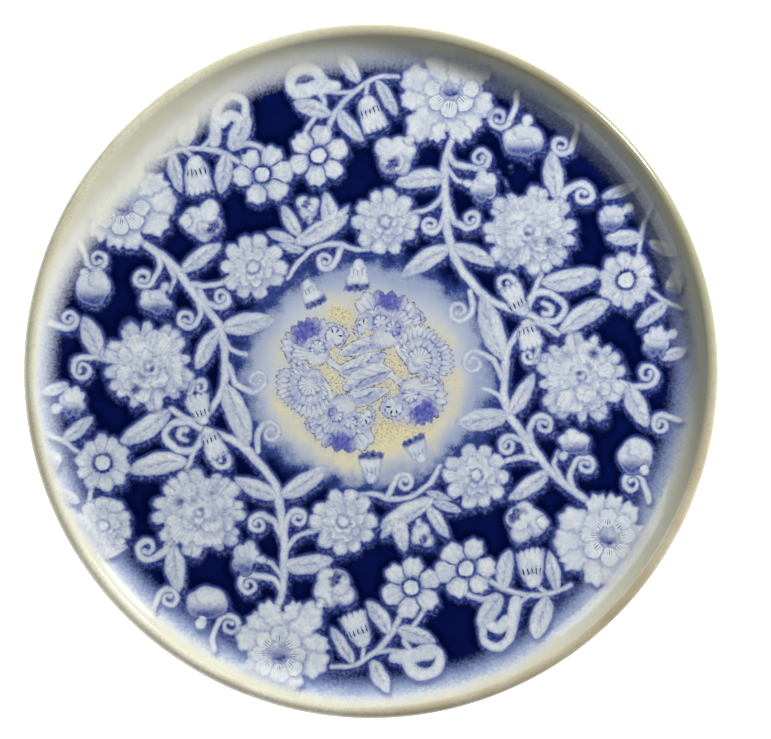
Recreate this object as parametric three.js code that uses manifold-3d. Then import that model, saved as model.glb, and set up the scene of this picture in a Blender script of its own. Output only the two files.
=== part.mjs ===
// A decorative wall plate: one piece of glazed earthenware, a flat round floor that sweeps up
// in a shallow flank to a rolled lip, and a foot ring pierced twice for a hanging wire.
//
// Millimetres, +Z up. The plate lies on its foot ring. The origin is the centre of the
// ring's underside, +Z is the plate's own axis, and +Y is the top of the plate on a wall.

import * as THREE from "three";
import { mergeVertices } from "three/addons/utils/BufferGeometryUtils.js";
import Module from "manifold-3d";

// The body
const RIM_DIAMETER = 280; // over the lip
const WELL_DEPTH = 6.6; // from the lip's top down to the floor
const BODY_THICKNESS = 5.2; // of the floor and the flank
const LIP_DIAMETER = 6; // of the rolled bead along the rim, a little over the body's thickness
const FLANK_SLOPE_DEG = 44; // where the sweep of the flank runs into the lip

// The foot ring
const FOOT_DIAMETER = 192; // over its resting face
const FOOT_HEIGHT = 6;
const FOOT_WIDTH = 6; // of the resting face with its eased edges
const FOOT_SPLAY = 1.2; // how far each side spreads up to the fillet
const FOOT_EASE = 0.8; // the rounding of the resting face's edges
const FOOT_FILLET = 1.6; // between ring and underside

// The two holes for a hanging wire, drilled through the foot ring
const WIRE_HOLE_DIAMETER = 2.4;
const WIRE_HOLE_SPREAD_DEG = 36; // between the two, centred on the plate's top
const DRILL_OVERRUN = 4; // past each side of the ring

// How finely round forms are faceted
const TURN_STEPS = 120;
const SWEEP_STEP_DEG = 8; // on the flank's inner and outer sweeps
const BEAD_STEP_DEG = 20;
const SMALL_ARC_STEP_DEG = 45; // on the foot's fillets and eased edges
const HOLE_SIDES = 16;

const degrees = THREE.MathUtils.degToRad;

const GLAZE = new THREE.MeshStandardMaterial({ color: 0xe4e6dc, roughness: 0.16, metalness: 0 });

// Points of an arc in the (radius, height) plane, both ends included. Angles are in radians
// from the outward direction, counter-clockwise.
function arc(centre, radius, from, to, stepDeg) {
  const steps = Math.max(2, Math.ceil(Math.abs(to - from) / degrees(stepDeg)));
  return Array.from({ length: steps + 1 }, (_, i) => {
    const angle = from + ((to - from) * i) / steps;
    return new THREE.Vector2(
      centre.x + radius * Math.cos(angle),
      centre.y + radius * Math.sin(angle),
    );
  });
}

// The inside, from the middle of the floor up the flank, over the lip, and down the outside to
// the underside.
function dishOutline() {
  const slope = degrees(FLANK_SLOPE_DEG);
  const floorTop = FOOT_HEIGHT + BODY_THICKNESS;
  const beadRadius = LIP_DIAMETER / 2;
  const bead = new THREE.Vector2(
    RIM_DIAMETER / 2 - beadRadius,
    floorTop + WELL_DEPTH - beadRadius,
  );

  // The flank's inner face sweeps up from the floor and runs into the bead without a corner.
  const joint = new THREE.Vector2(
    bead.x - beadRadius * Math.sin(slope),
    bead.y + beadRadius * Math.cos(slope),
  );
  const sweepRadius = (joint.y - floorTop) / (1 - Math.cos(slope));
  const sweep = new THREE.Vector2(
    joint.x - sweepRadius * Math.sin(slope),
    floorTop + sweepRadius,
  );

  // The outer face is one thickness further out, and meets the bead's underside.
  const outerRadius = sweepRadius + BODY_THICKNESS;
  const apart = sweepRadius + beadRadius; // between the two centres
  const meetingTurn = Math.acos(
    (apart ** 2 + outerRadius ** 2 - beadRadius ** 2) / (2 * apart * outerRadius),
  );
  const outerEnd = slope - meetingTurn - degrees(90);
  const meeting = new THREE.Vector2(
    sweep.x + outerRadius * Math.cos(outerEnd),
    sweep.y + outerRadius * Math.sin(outerEnd),
  );
  const underBead = Math.atan2(meeting.y - bead.y, meeting.x - bead.x);

  // The bead is drawn in three arcs, so that its highest and widest points are corners.
  return [
    new THREE.Vector2(0, floorTop),
    ...arc(sweep, sweepRadius, degrees(-90), slope - degrees(90), SWEEP_STEP_DEG),
    ...arc(bead, beadRadius, slope + degrees(90), degrees(90), BEAD_STEP_DEG).slice(1),
    ...arc(bead, beadRadius, degrees(90), 0, BEAD_STEP_DEG).slice(1),
    ...arc(bead, beadRadius, 0, underBead, BEAD_STEP_DEG).slice(1),
    ...arc(sweep, outerRadius, outerEnd, degrees(-90), SWEEP_STEP_DEG).slice(1),
  ];
}

// The foot ring's section, from its outer root round the resting face to its inner root, and
// the underside on to the axis
function footOutline() {
  const outer = FOOT_DIAMETER / 2;
  const inner = outer - FOOT_WIDTH;
  const splayAngle = Math.atan2(FOOT_SPLAY, FOOT_HEIGHT - FOOT_FILLET);
  const outerRoot = new THREE.Vector2(outer + FOOT_SPLAY + FOOT_FILLET, FOOT_HEIGHT - FOOT_FILLET);
  const innerRoot = new THREE.Vector2(inner - FOOT_SPLAY - FOOT_FILLET, FOOT_HEIGHT - FOOT_FILLET);
  const outerEdge = new THREE.Vector2(outer - FOOT_EASE, FOOT_EASE);
  const innerEdge = new THREE.Vector2(inner + FOOT_EASE, FOOT_EASE);
  return [
    ...arc(outerRoot, FOOT_FILLET, degrees(90), degrees(180), SMALL_ARC_STEP_DEG),
    ...arc(outerEdge, FOOT_EASE, -splayAngle, degrees(-90), SMALL_ARC_STEP_DEG),
    ...arc(innerEdge, FOOT_EASE, degrees(-90), degrees(-180) + splayAngle, SMALL_ARC_STEP_DEG),
    ...arc(innerRoot, FOOT_FILLET, 0, degrees(90), SMALL_ARC_STEP_DEG),
    new THREE.Vector2(0, FOOT_HEIGHT),
  ];
}

// A geometry with only its shared corners left, as a solid
function solidOf(wasm, geometry) {
  geometry.deleteAttribute("normal");
  geometry.deleteAttribute("uv");
  const merged = mergeVertices(geometry);
  return new wasm.Manifold(
    new wasm.Mesh({
      numProp: 3,
      vertProperties: new Float32Array(merged.attributes.position.array),
      triVerts: new Uint32Array(merged.index.array),
    }),
  );
}

function geometryOf(solid) {
  const mesh = solid.getMesh();
  const geometry = new THREE.BufferGeometry();
  geometry.setAttribute("position", new THREE.BufferAttribute(mesh.vertProperties, 3));
  geometry.setIndex(new THREE.BufferAttribute(mesh.triVerts, 1));
  geometry.computeVertexNormals();
  return geometry;
}

function turnedBody(wasm) {
  // Listed from the underside's middle outwards and over the lip, so that the turned faces
  // point out; a lathe turns about +Y, which then becomes +Z.
  const outline = [...dishOutline(), ...footOutline()].reverse();
  const turned = new THREE.LatheGeometry(outline, TURN_STEPS);
  turned.rotateX(degrees(90));
  return solidOf(wasm, turned);
}

// One radial drill through the foot ring, at a bearing from the plate's top
function wireHole(wasm, bearingDeg) {
  const depth = FOOT_WIDTH + 2 * (FOOT_SPLAY + DRILL_OVERRUN);
  const drill = new THREE.CylinderGeometry(
    WIRE_HOLE_DIAMETER / 2,
    WIRE_HOLE_DIAMETER / 2,
    depth,
    HOLE_SIDES,
  );
  // The cylinder already lies along +Y, the plate's top.
  drill.translate(0, (FOOT_DIAMETER - FOOT_WIDTH) / 2, FOOT_HEIGHT / 2);
  drill.rotateZ(degrees(bearingDeg));
  return solidOf(wasm, drill);
}

async function buildPlate() {
  const wasm = await Module();
  wasm.setup();
  let body = turnedBody(wasm);
  for (const side of [-1, 1]) {
    body = body.subtract(wireHole(wasm, (side * WIRE_HOLE_SPREAD_DEG) / 2));
  }
  const plate = new THREE.Mesh(geometryOf(body), GLAZE);
  plate.name = "plate";
  return plate;
}

const wallPlate = new THREE.Group();
wallPlate.add(await buildPlate());

export default wallPlate;
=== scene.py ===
"""A blue printed earthenware wall plate, lying on its foot ring with its printed face up.

Metres, in the plate's own frame: the origin is the centre of the foot ring's underside, +Z is
the plate's axis and +Y is its top on a wall. The print is laid out on an engraver's sheet, in
sheet units, x to the right and y down. Each motif is a formula that says how far a point lies
inside its outline. The face's mesh carries those distances, and the glaze draws the outlines,
shadows and fine lines from them.
"""

import logging
import math
from dataclasses import dataclass, field
from enum import Enum
from typing import Any, Sequence, Union

import bmesh
import bpy
import numpy as np
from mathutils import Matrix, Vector


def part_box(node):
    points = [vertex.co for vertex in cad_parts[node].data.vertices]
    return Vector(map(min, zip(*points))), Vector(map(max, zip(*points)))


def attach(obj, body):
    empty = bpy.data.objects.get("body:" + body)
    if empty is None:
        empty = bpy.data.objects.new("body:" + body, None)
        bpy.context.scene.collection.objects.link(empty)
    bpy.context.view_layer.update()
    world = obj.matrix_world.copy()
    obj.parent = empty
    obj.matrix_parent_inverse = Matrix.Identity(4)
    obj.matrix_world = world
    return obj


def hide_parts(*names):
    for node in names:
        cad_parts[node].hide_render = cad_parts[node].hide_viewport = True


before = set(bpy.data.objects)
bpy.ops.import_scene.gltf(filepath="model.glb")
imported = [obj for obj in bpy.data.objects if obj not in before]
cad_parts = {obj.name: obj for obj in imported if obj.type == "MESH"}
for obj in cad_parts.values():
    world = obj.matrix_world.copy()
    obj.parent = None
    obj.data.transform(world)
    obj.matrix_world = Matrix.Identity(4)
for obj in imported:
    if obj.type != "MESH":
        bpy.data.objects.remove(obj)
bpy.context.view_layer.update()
PLATE_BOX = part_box("plate")

log = logging.getLogger("wall_plate")

NODE = "plate"

# The photograph's frame, and the plate's place in it
FRAME_WIDTH = 771
FRAME_HEIGHT = 739
PLATE_IN_FRAME = complex(371.0, 371.1)
PLATE_RADIUS_IN_FRAME = 347.3

# The engraver's sheet: one unit is as much of the plate as one pixel of the photograph
RIM_RADIUS = (PLATE_BOX[1][0] - PLATE_BOX[0][0]) / 2
PLATE_HEIGHT = PLATE_BOX[1][2]
UNIT = RIM_RADIUS / PLATE_RADIUS_IN_FRAME
SHEET_CENTRE = PLATE_IN_FRAME
PRINT_PIVOT = complex(364.6, 371.6)  # the print repeats itself half a turn about this point

Floats = np.ndarray
Reading = Union[Floats, float]
Point = complex
Disc = tuple[Point, float]  # a middle and a radius on the sheet
Corner = tuple[float, float]  # a radius and a height in the plate's section
Colour = tuple[float, float, float]

OUTSIDE = -1e3  # further outside than any outline reaches
TINY = 1e-6
AT_MIDDLE = 1e-9  # nearer than this is the middle itself, where there is no direction
SPARE = 8.0  # added to a motif's reach for its soft edge


def from_srgb(red: int, green: int, blue: int) -> Colour:
    """Return a display colour of 0 to 255 a channel as scene-linear values."""
    def linear(channel: int) -> float:
        """Undo the display's curve, straight near black and a power above it."""
        value = channel / 255
        return value / 12.92 if value <= 0.04045 else ((value + 0.055) / 1.055) ** 2.4
    return (linear(red), linear(green), linear(blue))


# The engraver's drawing tools


def smooth_step(value: Floats, low: float, high: float) -> Floats:
    """Return 0 below low and 1 above high, with a smooth rise between."""
    t = np.clip((value - low) / (high - low), 0.0, 1.0)
    return t * t * (3 - 2 * t)


def fall(value: Floats, low: float, high: float) -> Floats:
    """Return 1 below low and 0 above high, with a smooth fall between."""
    return 1 - smooth_step(value, low, high)


def curve_through(points: Sequence[Point], steps: int = 6) -> Floats:
    """Draw a smooth curve through a few points.

    Args:
        points: The points, in order.
        steps: How many pieces each span is drawn in.

    Returns:
        The points along the curve, both ends included.
    """
    knots = [2 * points[0] - points[1], *points, 2 * points[-1] - points[-2]]
    t = np.arange(steps) / steps
    spans = []
    for a, b, c, d in zip(knots, knots[1:], knots[2:], knots[3:]):
        curved = 2 * a - 5 * b + 4 * c - d
        spans.append(0.5 * (2 * b + (c - a) * t + curved * t ** 2 + (3 * b - a - 3 * c + d) * t ** 3))
    spans.append(np.array([points[-1]]))
    return np.concatenate(spans)


def inside_stroke(z: Floats, path: Floats, half: Floats) -> Floats:
    """Return how far each point lies inside a stroke of changing width.

    Args:
        z: The points.
        path: The stroke's middle line.
        half: Half its width at each point of the path.

    Returns:
        The distance inside, negative outside.
    """
    best = np.full(z.shape, OUTSIDE)
    for a, b, half_a, half_b in zip(path[:-1], path[1:], half[:-1], half[1:]):
        along = b - a
        length = max(abs(along), TINY)
        t = np.clip(((z - a) * np.conj(along)).real / length ** 2, 0.0, 1.0)
        best = np.maximum(best, half_a + (half_b - half_a) * t - np.abs(z - a - along * t))
    return best


def scallops(angle: Floats, count: int, turned: float = 0.0) -> Floats:
    """Return a row of round lobes about a centre, 1 at their tips and 0 in their notches."""
    return np.abs(np.cos(0.5 * count * (angle - turned)))


BLANK_ROW = -30.0
ROW_COUNT = 3


@dataclass
class Marks:
    """What the engraver draws inside one motif, at each point of the sheet."""

    rows: Sequence[Floats] = ()  # distances inside up to three nested sheets of petals
    phase: Reading = 0.0  # its whole numbers are fine lines
    ink: Reading = 0.0  # how dark the fine lines are
    wash: Reading = 0.0  # how strongly blue is washed over the motif
    shade: Reading = 0.0  # how deep the soft folds are

    TONES = ("phase", "ink", "wash", "shade")


@dataclass(frozen=True)
class Motif:
    """One motif of the print. Its children know their outline."""

    at: Point

    @property
    def reach(self) -> float:
        """Return the radius about its place that holds the motif."""
        return 20.0

    def inside(self, z: Floats) -> Floats:
        """Return how far each point lies inside the outline.

        Args:
            z: The points.

        Returns:
            Distances in sheet units, negative outside.
        """
        raise NotImplementedError

    def marks(self, z: Floats, edge: Floats, down: float) -> Marks:
        """Return what is drawn inside.

        Args:
            z: The points.
            edge: How far each lies inside the outline.
            down: 1 where the sheet's y runs down the plate, -1 in the turned copy.

        Returns:
            The marks, all blank in a motif with nothing drawn inside.
        """
        return Marks()


@dataclass(frozen=True)
class Stroke(Motif):
    """A stem, ribbon or tendril through a few points."""

    points: tuple[Point, ...] = ()
    half: tuple[float, ...] = (3.0, 3.0)

    SOFT_EDGE = 0.8  # what the ink's soft edge takes off each side

    @property
    def reach(self) -> float:
        """Return the radius that holds the motif."""
        return max(abs(p - self.at) for p in self.points) + max(self.half) + SPARE

    def line(self) -> tuple[Floats, Floats]:
        """Return the stroke's middle line and its half width along it."""
        path = curve_through(self.points)
        share = np.linspace(0, 1, len(path))
        half = np.interp(share, np.linspace(0, 1, len(self.half)), self.half)
        return path, half + self.SOFT_EDGE

    def inside(self, z: Floats) -> Floats:
        """Return how far each point lies inside the outline."""
        return inside_stroke(z, *self.line())


def stroke(points: Sequence[Point], *half: float) -> Stroke:
    """Return a stroke through the points, with its half widths from first to last."""
    middle = sum(points) / len(points)
    return Stroke(middle, tuple(points), half)


@dataclass(frozen=True)
class Curl(Motif):
    """A tendril that leaves a stem and rolls up into a spiral about its place."""

    root: Point = 0j
    via: tuple[Point, ...] = ()
    radius: float = 10.0
    clockwise: bool = True
    turns: float = 1.3
    half: float = 4.1

    INNER = 0.3  # the spiral's last radius, as a share of its first
    TIGHTENING = 0.85  # below 1, so that it rolls up quickest at first
    THINNING = 0.32  # what it loses of its width
    BULB = 0.95  # the radius of its tip over its half width
    STEPS = 22
    LEAD_STEPS = 6

    @property
    def reach(self) -> float:
        """Return the radius that holds the motif."""
        return max(abs(p - self.at) for p in (self.root, *self.via)) + self.radius + SPARE

    def line(self) -> tuple[Floats, Floats]:
        """Return the tendril's middle line and its half width along it."""
        hand = 1 if self.clockwise else -1
        lead = [self.root, *self.via]
        away = lead[-1] - self.at
        leave = math.acos(min(1.0, self.radius / abs(away)))
        start = math.atan2(away.imag, away.real) + hand * leave
        share = np.linspace(0, 1, self.STEPS)
        radii = self.radius * (1 - (1 - self.INNER) * share ** self.TIGHTENING)
        rolled = self.at + radii * np.exp(1j * (start + hand * 2 * math.pi * self.turns * share))
        towards = curve_through([*lead, rolled[0], rolled[2]], self.LEAD_STEPS)
        first = towards[:-2 * self.LEAD_STEPS]
        half = [np.full(len(first), self.half), self.half * (1 - self.THINNING * share)]
        return np.concatenate([first, rolled]), np.concatenate(half)

    def inside(self, z: Floats) -> Floats:
        """Return how far each point lies inside the outline."""
        path, half = self.line()
        bulb = self.half * self.BULB - np.abs(z - path[-1])
        return np.maximum(inside_stroke(z, path, half), bulb)


@dataclass(frozen=True)
class Leaf(Motif):
    """A pointed leaf from its stalk to its tip, with a midrib and side veins."""

    tip: Point = 0j
    width: float = 18.0
    bend: float = 0.0  # how far the midrib bows to its right
    blue: float = 0.0  # how strongly its lower half is washed

    STEPS = 14
    ROOT_ROUND = 0.62  # powers of its outline: the lower, the blunter that end
    TIP_ROUND = 0.72
    VEINS = 5.0  # over its length
    VEIN_INK = 0.22
    VEIN_SLANT = 0.16
    LOWER_SHADE = 0.22
    RIB_SHADE = 0.8

    @property
    def reach(self) -> float:
        """Return the radius that holds the motif."""
        return abs(self.tip - self.at) + SPARE

    def line(self) -> tuple[Floats, Floats]:
        """Return the midrib and the leaf's half width along it."""
        share = np.linspace(0, 1, self.STEPS)
        across = 1j * (self.tip - self.at) / abs(self.tip - self.at)
        path = self.at + (self.tip - self.at) * share + across * self.bend * 4 * share * (1 - share)
        plump = share ** self.ROOT_ROUND * (1 - share) ** self.TIP_ROUND
        return path, self.width / 2 * plump / plump.max()

    def inside(self, z: Floats) -> Floats:
        """Return how far each point lies inside the outline."""
        return inside_stroke(z, *self.line())

    def marks(self, z: Floats, edge: Floats, down: float) -> Marks:
        """Return what is drawn inside, as Motif.marks does."""
        axis = self.tip - self.at
        length = abs(axis)
        local = (z - self.at) * np.conj(axis) / length
        along = local.real / length
        aside = local.imag - self.bend * 4 * along * (1 - along)
        inner = smooth_step(edge, 0.5, 3.5)
        phase = along * self.VEINS - np.abs(aside) * self.VEIN_SLANT
        midrib = aside + 0.4 + 3 * smooth_step(along, 0.55, 0.8)
        lower = smooth_step(aside * down * np.sign(axis.real or 1.0), -1.0, 4.0)
        rib = 0.5 * fall(np.abs(aside), 0.5, 3.0) * smooth_step(along, 0.0, 0.2)
        ink = (self.VEIN_INK + 0.25 * self.blue) * inner
        wash = 0.55 * self.blue * lower * inner
        shade = np.maximum(self.LOWER_SHADE * lower, self.RIB_SHADE * rib) * inner
        return Marks([midrib], phase, ink, wash, shade)


def lower_side(q: Floats, down: float) -> Floats:
    """Return 1 on the lower, slightly right side of a middle, falling to 0 on its upper side."""
    facing = (0.35 * q.real + 0.94 * q.imag) * down / np.maximum(np.abs(q), TINY)
    return smooth_step(facing, -0.5, 0.9)


@dataclass(frozen=True)
class PetalRow:
    """A ring of petals about a flower's middle, in shares of the flower's radius."""

    count: int  # even, so that every second petal can be told from its neighbours
    middle: float
    length: float  # from a petal's middle to its tip
    width: float  # from its middle to its side
    frill: float = 0.05
    notch: float = 0.0  # a nick in the tip
    uneven: float = 0.1
    turned: float = 0.0

    FRILLS = 7  # about each petal
    NICK_WIDTH = 0.3  # over half the petal's width

    def sides(self, q: Floats, radius: float, seed: int) -> list[Floats]:
        """Return how far points lie inside the even petals, and inside the odd ones.

        Args:
            q: The points, from the flower's middle.
            radius: The flower's radius.
            seed: Makes the row's petals uneven in a way of its own.

        Returns:
            The two distances.
        """
        chance = np.random.default_rng(seed)
        sides = [np.full(q.shape, OUTSIDE), np.full(q.shape, OUTSIDE)]
        for k in range(self.count):
            angle = self.turned + 2 * math.pi * (k + chance.uniform(-1, 1) * self.uneven) / self.count
            size = 1 + chance.uniform(-1, 1) * self.uneven * 0.7
            petal = q * np.exp(-1j * angle) / radius
            out = (petal.real - self.middle) / (self.length * size)
            local = out + 1j * petal.imag / (self.width * size)
            ruffled = 1 + self.frill * np.cos(self.FRILLS * np.angle(local) + k)
            nick = self.notch * np.exp(-(local.imag / self.NICK_WIDTH) ** 2)
            nick = nick * smooth_step(local.real, 0.2, 0.9)
            edge = (ruffled - nick - np.abs(local)) * min(self.length, self.width) * radius
            sides[k % 2] = np.maximum(sides[k % 2], edge)
        return sides


@dataclass(frozen=True)
class Pool:
    """A place where the blue has run over a motif."""

    at: Point = 0j  # from the motif's own place
    size: float = 1.0
    depth: float = 0.0

    def over(self, q: Floats, core: float) -> Floats:
        """Return how strongly the blue lies at points, given from the motif's own place."""
        return self.depth * fall(np.abs(q - self.at) / self.size, core, 1.0)


@dataclass(frozen=True)
class Flower(Motif):
    """A flower of one or more rows of petals about a button, the inner over the outer."""

    radius: float = 32.0
    rows: tuple[PetalRow, ...] = ()
    button: float = 7.6
    core: float = 0.45  # the solid middle, as a share of the radius
    ticks: int = 0  # short dark ticks about the button
    collar: float = 0.7  # how dark the ring about the button is
    crease: float = 0.6  # how deep the folds between petals are
    squash: float = 1.0  # height over width
    seed: int = 1
    pools: tuple[Pool, ...] = ()
    parting: float = 0.0  # how dark the lines between the petals are
    depth: float = 0.6  # how deep a row's shade on the row below is

    TICK_LENGTH = 6.0
    TICK_INK = 1.5
    STREAKS = 38  # faint lines up the petals
    STREAK_INK = 0.24
    SHADOW_WIDTH = 7.0  # of the shade that a row throws on the row below
    COVERED = 12.0  # hides the gaps of the outer row where an inner row covers them
    BUTTONED = 8.0  # hides the gaps under the button

    @property
    def reach(self) -> float:
        """Return the radius that holds the motif."""
        return self.radius * 1.15 + SPARE

    def local(self, z: Floats) -> Floats:
        """Return the points from the flower's middle, with its squash undone."""
        q = z - self.at
        return q.real + 1j * q.imag / self.squash

    def inside(self, z: Floats) -> Floats:
        """Return how far each point lies inside the outline."""
        q = self.local(z)
        even, odd = self.rows[0].sides(q, self.radius, self.seed)
        return np.maximum(np.maximum(even, odd), self.core * self.radius - np.abs(q))

    def folds(self, q: Floats, low: Floats) -> tuple[Floats, Floats, list[Floats]]:
        """Work out the folds between petals, and the shade of each row on the row below.

        Args:
            q: The points, from the flower's middle.
            low: How strongly each is shaded for its side of the flower.

        Returns:
            The shade, the gaps between the petals, and the inner rows' outlines.
        """
        shade = np.zeros(q.shape)
        gap = np.full(q.shape, BLANK_ROW)
        outlines = []
        for number, row in enumerate(self.rows):
            even, odd = row.sides(q, self.radius, self.seed + number)
            whole = np.maximum(even, odd)
            parting = even - odd
            fold = self.crease * fall(np.abs(parting), 0.3, 3.6) * smooth_step(whole, 0.3, 3.5)
            if number:
                thrown = smooth_step(whole, -self.SHADOW_WIDTH, -0.2) * low
                cover = smooth_step(whole, -0.6, 0.6)
                shade = np.maximum(shade, self.depth * thrown) * (1 - cover) + fold * cover
                outlines.append(whole)
                gap = gap + self.COVERED * cover
            else:
                shade = fold
                gap = parting + self.BUTTONED * smooth_step(self.button + 2 - np.abs(q), -2, 1)
        return shade, gap, outlines

    def marks(self, z: Floats, edge: Floats, down: float) -> Marks:
        """Return what is drawn inside, as Motif.marks does."""
        q = self.local(z)
        out = np.abs(q) / self.radius
        angle = np.angle(q)
        low = 0.4 + 0.6 * lower_side(q, down)
        shade, gap, outlines = self.folds(q, low)
        ticked = self.ticks > 0

        # The button, its ring and the shade of its heel
        button = self.button - np.abs(q)
        clear = smooth_step(button, -0.8, 0.4)
        ring = smooth_step(-button, -0.4, 1.0) * fall(-button, 2.0, 5.0)
        heel = 0.4 * fall(-button, 2.0, 11.0) * ticked
        collar = self.collar * ring * (0.6 + 0.4 * low)
        shade = np.maximum(np.maximum(shade, heel), collar) * (1 - clear)

        # The ticks, or else the faint streaks
        uneven = 0.75 + 0.25 * np.cos(3 * angle + self.seed) * np.cos(2 * angle)
        strokes = smooth_step(-button, 0.0, 1.0) * fall(-button, 2.5, self.TICK_LENGTH)
        turn = angle + 0.10 * np.sin(5 * angle + self.seed) + 0.16 * np.sin(2 * angle + out)
        phase = turn * (self.ticks or self.STREAKS) / (2 * math.pi)
        streaks = self.STREAK_INK * smooth_step(out, 0.36, 0.5) * fall(out, 0.7, 0.95)
        ink = self.TICK_INK * uneven * strokes * ticked + streaks

        # The blue about the button, between the petals and in the pools
        wash = 0.95 * uneven * self.collar * ring * ticked
        if self.parting:
            narrow = fall(np.abs(gap), 0.3, 2.8) * fall(out, 0.45, 0.95)
            wash = np.maximum(wash, self.parting * narrow)
        for pool in self.pools:
            wash = np.maximum(wash, pool.over(z - self.at, 0.2))
        return Marks([gap, *outlines[:1], button], phase, ink, wash, shade)


def blossom(at: Point, radius: float, degrees: float, seed: int) -> Flower:
    """Return an open blossom of six notched petals about a ticked button.

    Args:
        at: Its middle.
        radius: How far its petals reach.
        degrees: How far it is turned.
        seed: What makes its unevenness its own.

    Returns:
        The flower.
    """
    turned = math.radians(degrees)
    row = PetalRow(6, 0.62, 0.38, 0.35, frill=0.04, notch=0.18, uneven=0.16, turned=turned)
    return Flower(at, radius, (row,), button=7.4, core=0.40, ticks=20, collar=1.1, crease=0.7,
                  seed=seed, parting=1.0)


def daisy(at: Point, radius: float, seed: int) -> Flower:
    """Return a daisy of narrow petals about a ticked button."""
    row = PetalRow(10, 0.62, 0.38, 0.27, frill=0.03, notch=0.04, uneven=0.2, turned=0.1 * seed)
    return Flower(at, radius, (row,), button=7.4, core=0.84, ticks=18, collar=1.0, crease=0.45,
                  seed=seed)


def chrysanthemum(at: Point, radius: float, seed: int) -> Flower:
    """Return a full flower of three rows of round petals."""
    rows = (
        PetalRow(10, 0.71, 0.28, 0.24, frill=0.03, notch=0.07, uneven=0.18, turned=0.3 * seed),
        PetalRow(8, 0.38, 0.19, 0.15, frill=0.05, notch=0.06, uneven=0.2, turned=0.5 * seed),
        PetalRow(6, 0.24, 0.11, 0.10, frill=0.05, notch=0.0, uneven=0.2, turned=0.2 * seed),
    )
    return Flower(at, radius, rows, button=4.6, core=0.74, collar=0.9, crease=0.62, squash=0.98,
                  seed=seed)


def peony(at: Point, radius: float, squash: float, seed: int, *pools: Pool) -> Flower:
    """Return a large flower of ruffled rows, with dark folds at the places of its pools."""
    rows = (
        PetalRow(18, 0.76, 0.225, 0.155, frill=0.03, notch=0.06, uneven=0.4, turned=0.3 * seed),
        PetalRow(10, 0.54, 0.21, 0.19, frill=0.05, notch=0.05, uneven=0.5, turned=0.5 * seed),
        PetalRow(6, 0.32, 0.17, 0.16, frill=0.06, notch=0.04, uneven=0.5, turned=0.2 * seed),
        PetalRow(4, 0.14, 0.10, 0.09, frill=0.05, notch=0.0, uneven=0.4, turned=0.7 * seed),
    )
    return Flower(at, radius, rows, button=3.0, core=0.78, collar=0.8, crease=0.5, squash=squash,
                  seed=seed, pools=pools)


@dataclass(frozen=True)
class RimFlower(Motif):
    """A large pale flower with a cup, a ring of small round petals and broad outer ones."""

    cup: Point = 0j  # from the flower's middle
    radius: float = 46.0
    seed: int = 5

    OUTER = PetalRow(10, 0.66, 0.35, 0.28, frill=0.08, notch=0.09, uneven=0.35)
    SOLID = 0.66  # the solid middle, as a share of the radius
    RING = 8
    RING_RADIUS = 19.5
    SMALLEST, LARGEST = 7.6, 9.6  # radii of the ring's petals
    HIDDEN = -0.4  # petals of the ring further up than this are washed out
    HEEL = 4.5  # from a petal's middle in to its ticked heel
    TICKS = 0.42  # to a sheet unit
    BOWL = 9.0
    BOWL_SQUASH = 1.15  # its width over its height

    @property
    def reach(self) -> float:
        """Return the radius that holds the motif."""
        return self.radius * 1.25 + SPARE

    def inside(self, z: Floats) -> Floats:
        """Return how far each point lies inside the outline."""
        q = z - self.at
        even, odd = self.OUTER.sides(q, self.radius, self.seed)
        return np.maximum(np.maximum(even, odd), self.radius * self.SOLID - np.abs(q))

    def marks(self, z: Floats, edge: Floats, down: float) -> Marks:
        """Return what is drawn inside, as Motif.marks does."""
        chance = np.random.default_rng(self.seed + 1)
        even, odd = self.OUTER.sides(z - self.at, self.radius, self.seed)
        parting = even - odd
        q = z - self.at - self.cup
        ring = np.full(z.shape, OUTSIDE)
        second = np.full(z.shape, OUTSIDE)
        phase = np.zeros(z.shape)
        ink = np.zeros(z.shape)
        for k in range(self.RING):
            angle = 2 * math.pi * (k + chance.uniform(-0.12, 0.12)) / self.RING
            if down > 0 and math.sin(angle) < self.HIDDEN:
                continue
            petal = q - self.RING_RADIUS * np.exp(1j * angle)
            within = chance.uniform(self.SMALLEST, self.LARGEST) - np.abs(petal)
            heel = np.abs(petal + self.HEEL * np.exp(1j * angle))
            mine = within > ring
            second = np.maximum(second, np.minimum(within, ring))
            phase = np.where(mine, (petal * np.exp(-1j * angle)).imag * self.TICKS, phase)
            low = 1.0 if down < 0 else float(smooth_step(math.sin(angle), -0.3, 0.5))
            ink = np.where(mine, 1.5 * low * fall(heel, 1.5, 4.5), ink)
            ring = np.maximum(ring, within)
        bowl = self.BOWL - np.abs(q.real + 1j * q.imag * self.BOWL_SQUASH)
        lower = smooth_step(q.imag * down, -3.0, 6.0)
        wash = 0.95 * smooth_step(bowl, -0.5, 2.0) * (0.15 + 0.85 * lower)
        side = lower_side(q, down)
        broad = 0.55 * fall(np.abs(parting), 0.4, 4.5) * smooth_step(edge, 1, 5)
        thrown = 0.8 * smooth_step(ring, -6.5, -0.2) * (0.45 + 0.55 * side)
        between = 0.6 * fall(ring - second, 0.3, 2.6) * (0.4 + 0.6 * side)
        shade = np.where(ring > 0, between * (bowl < 0), np.maximum(broad, thrown))
        return Marks([ring, bowl], phase, ink, wash, shade)


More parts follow.
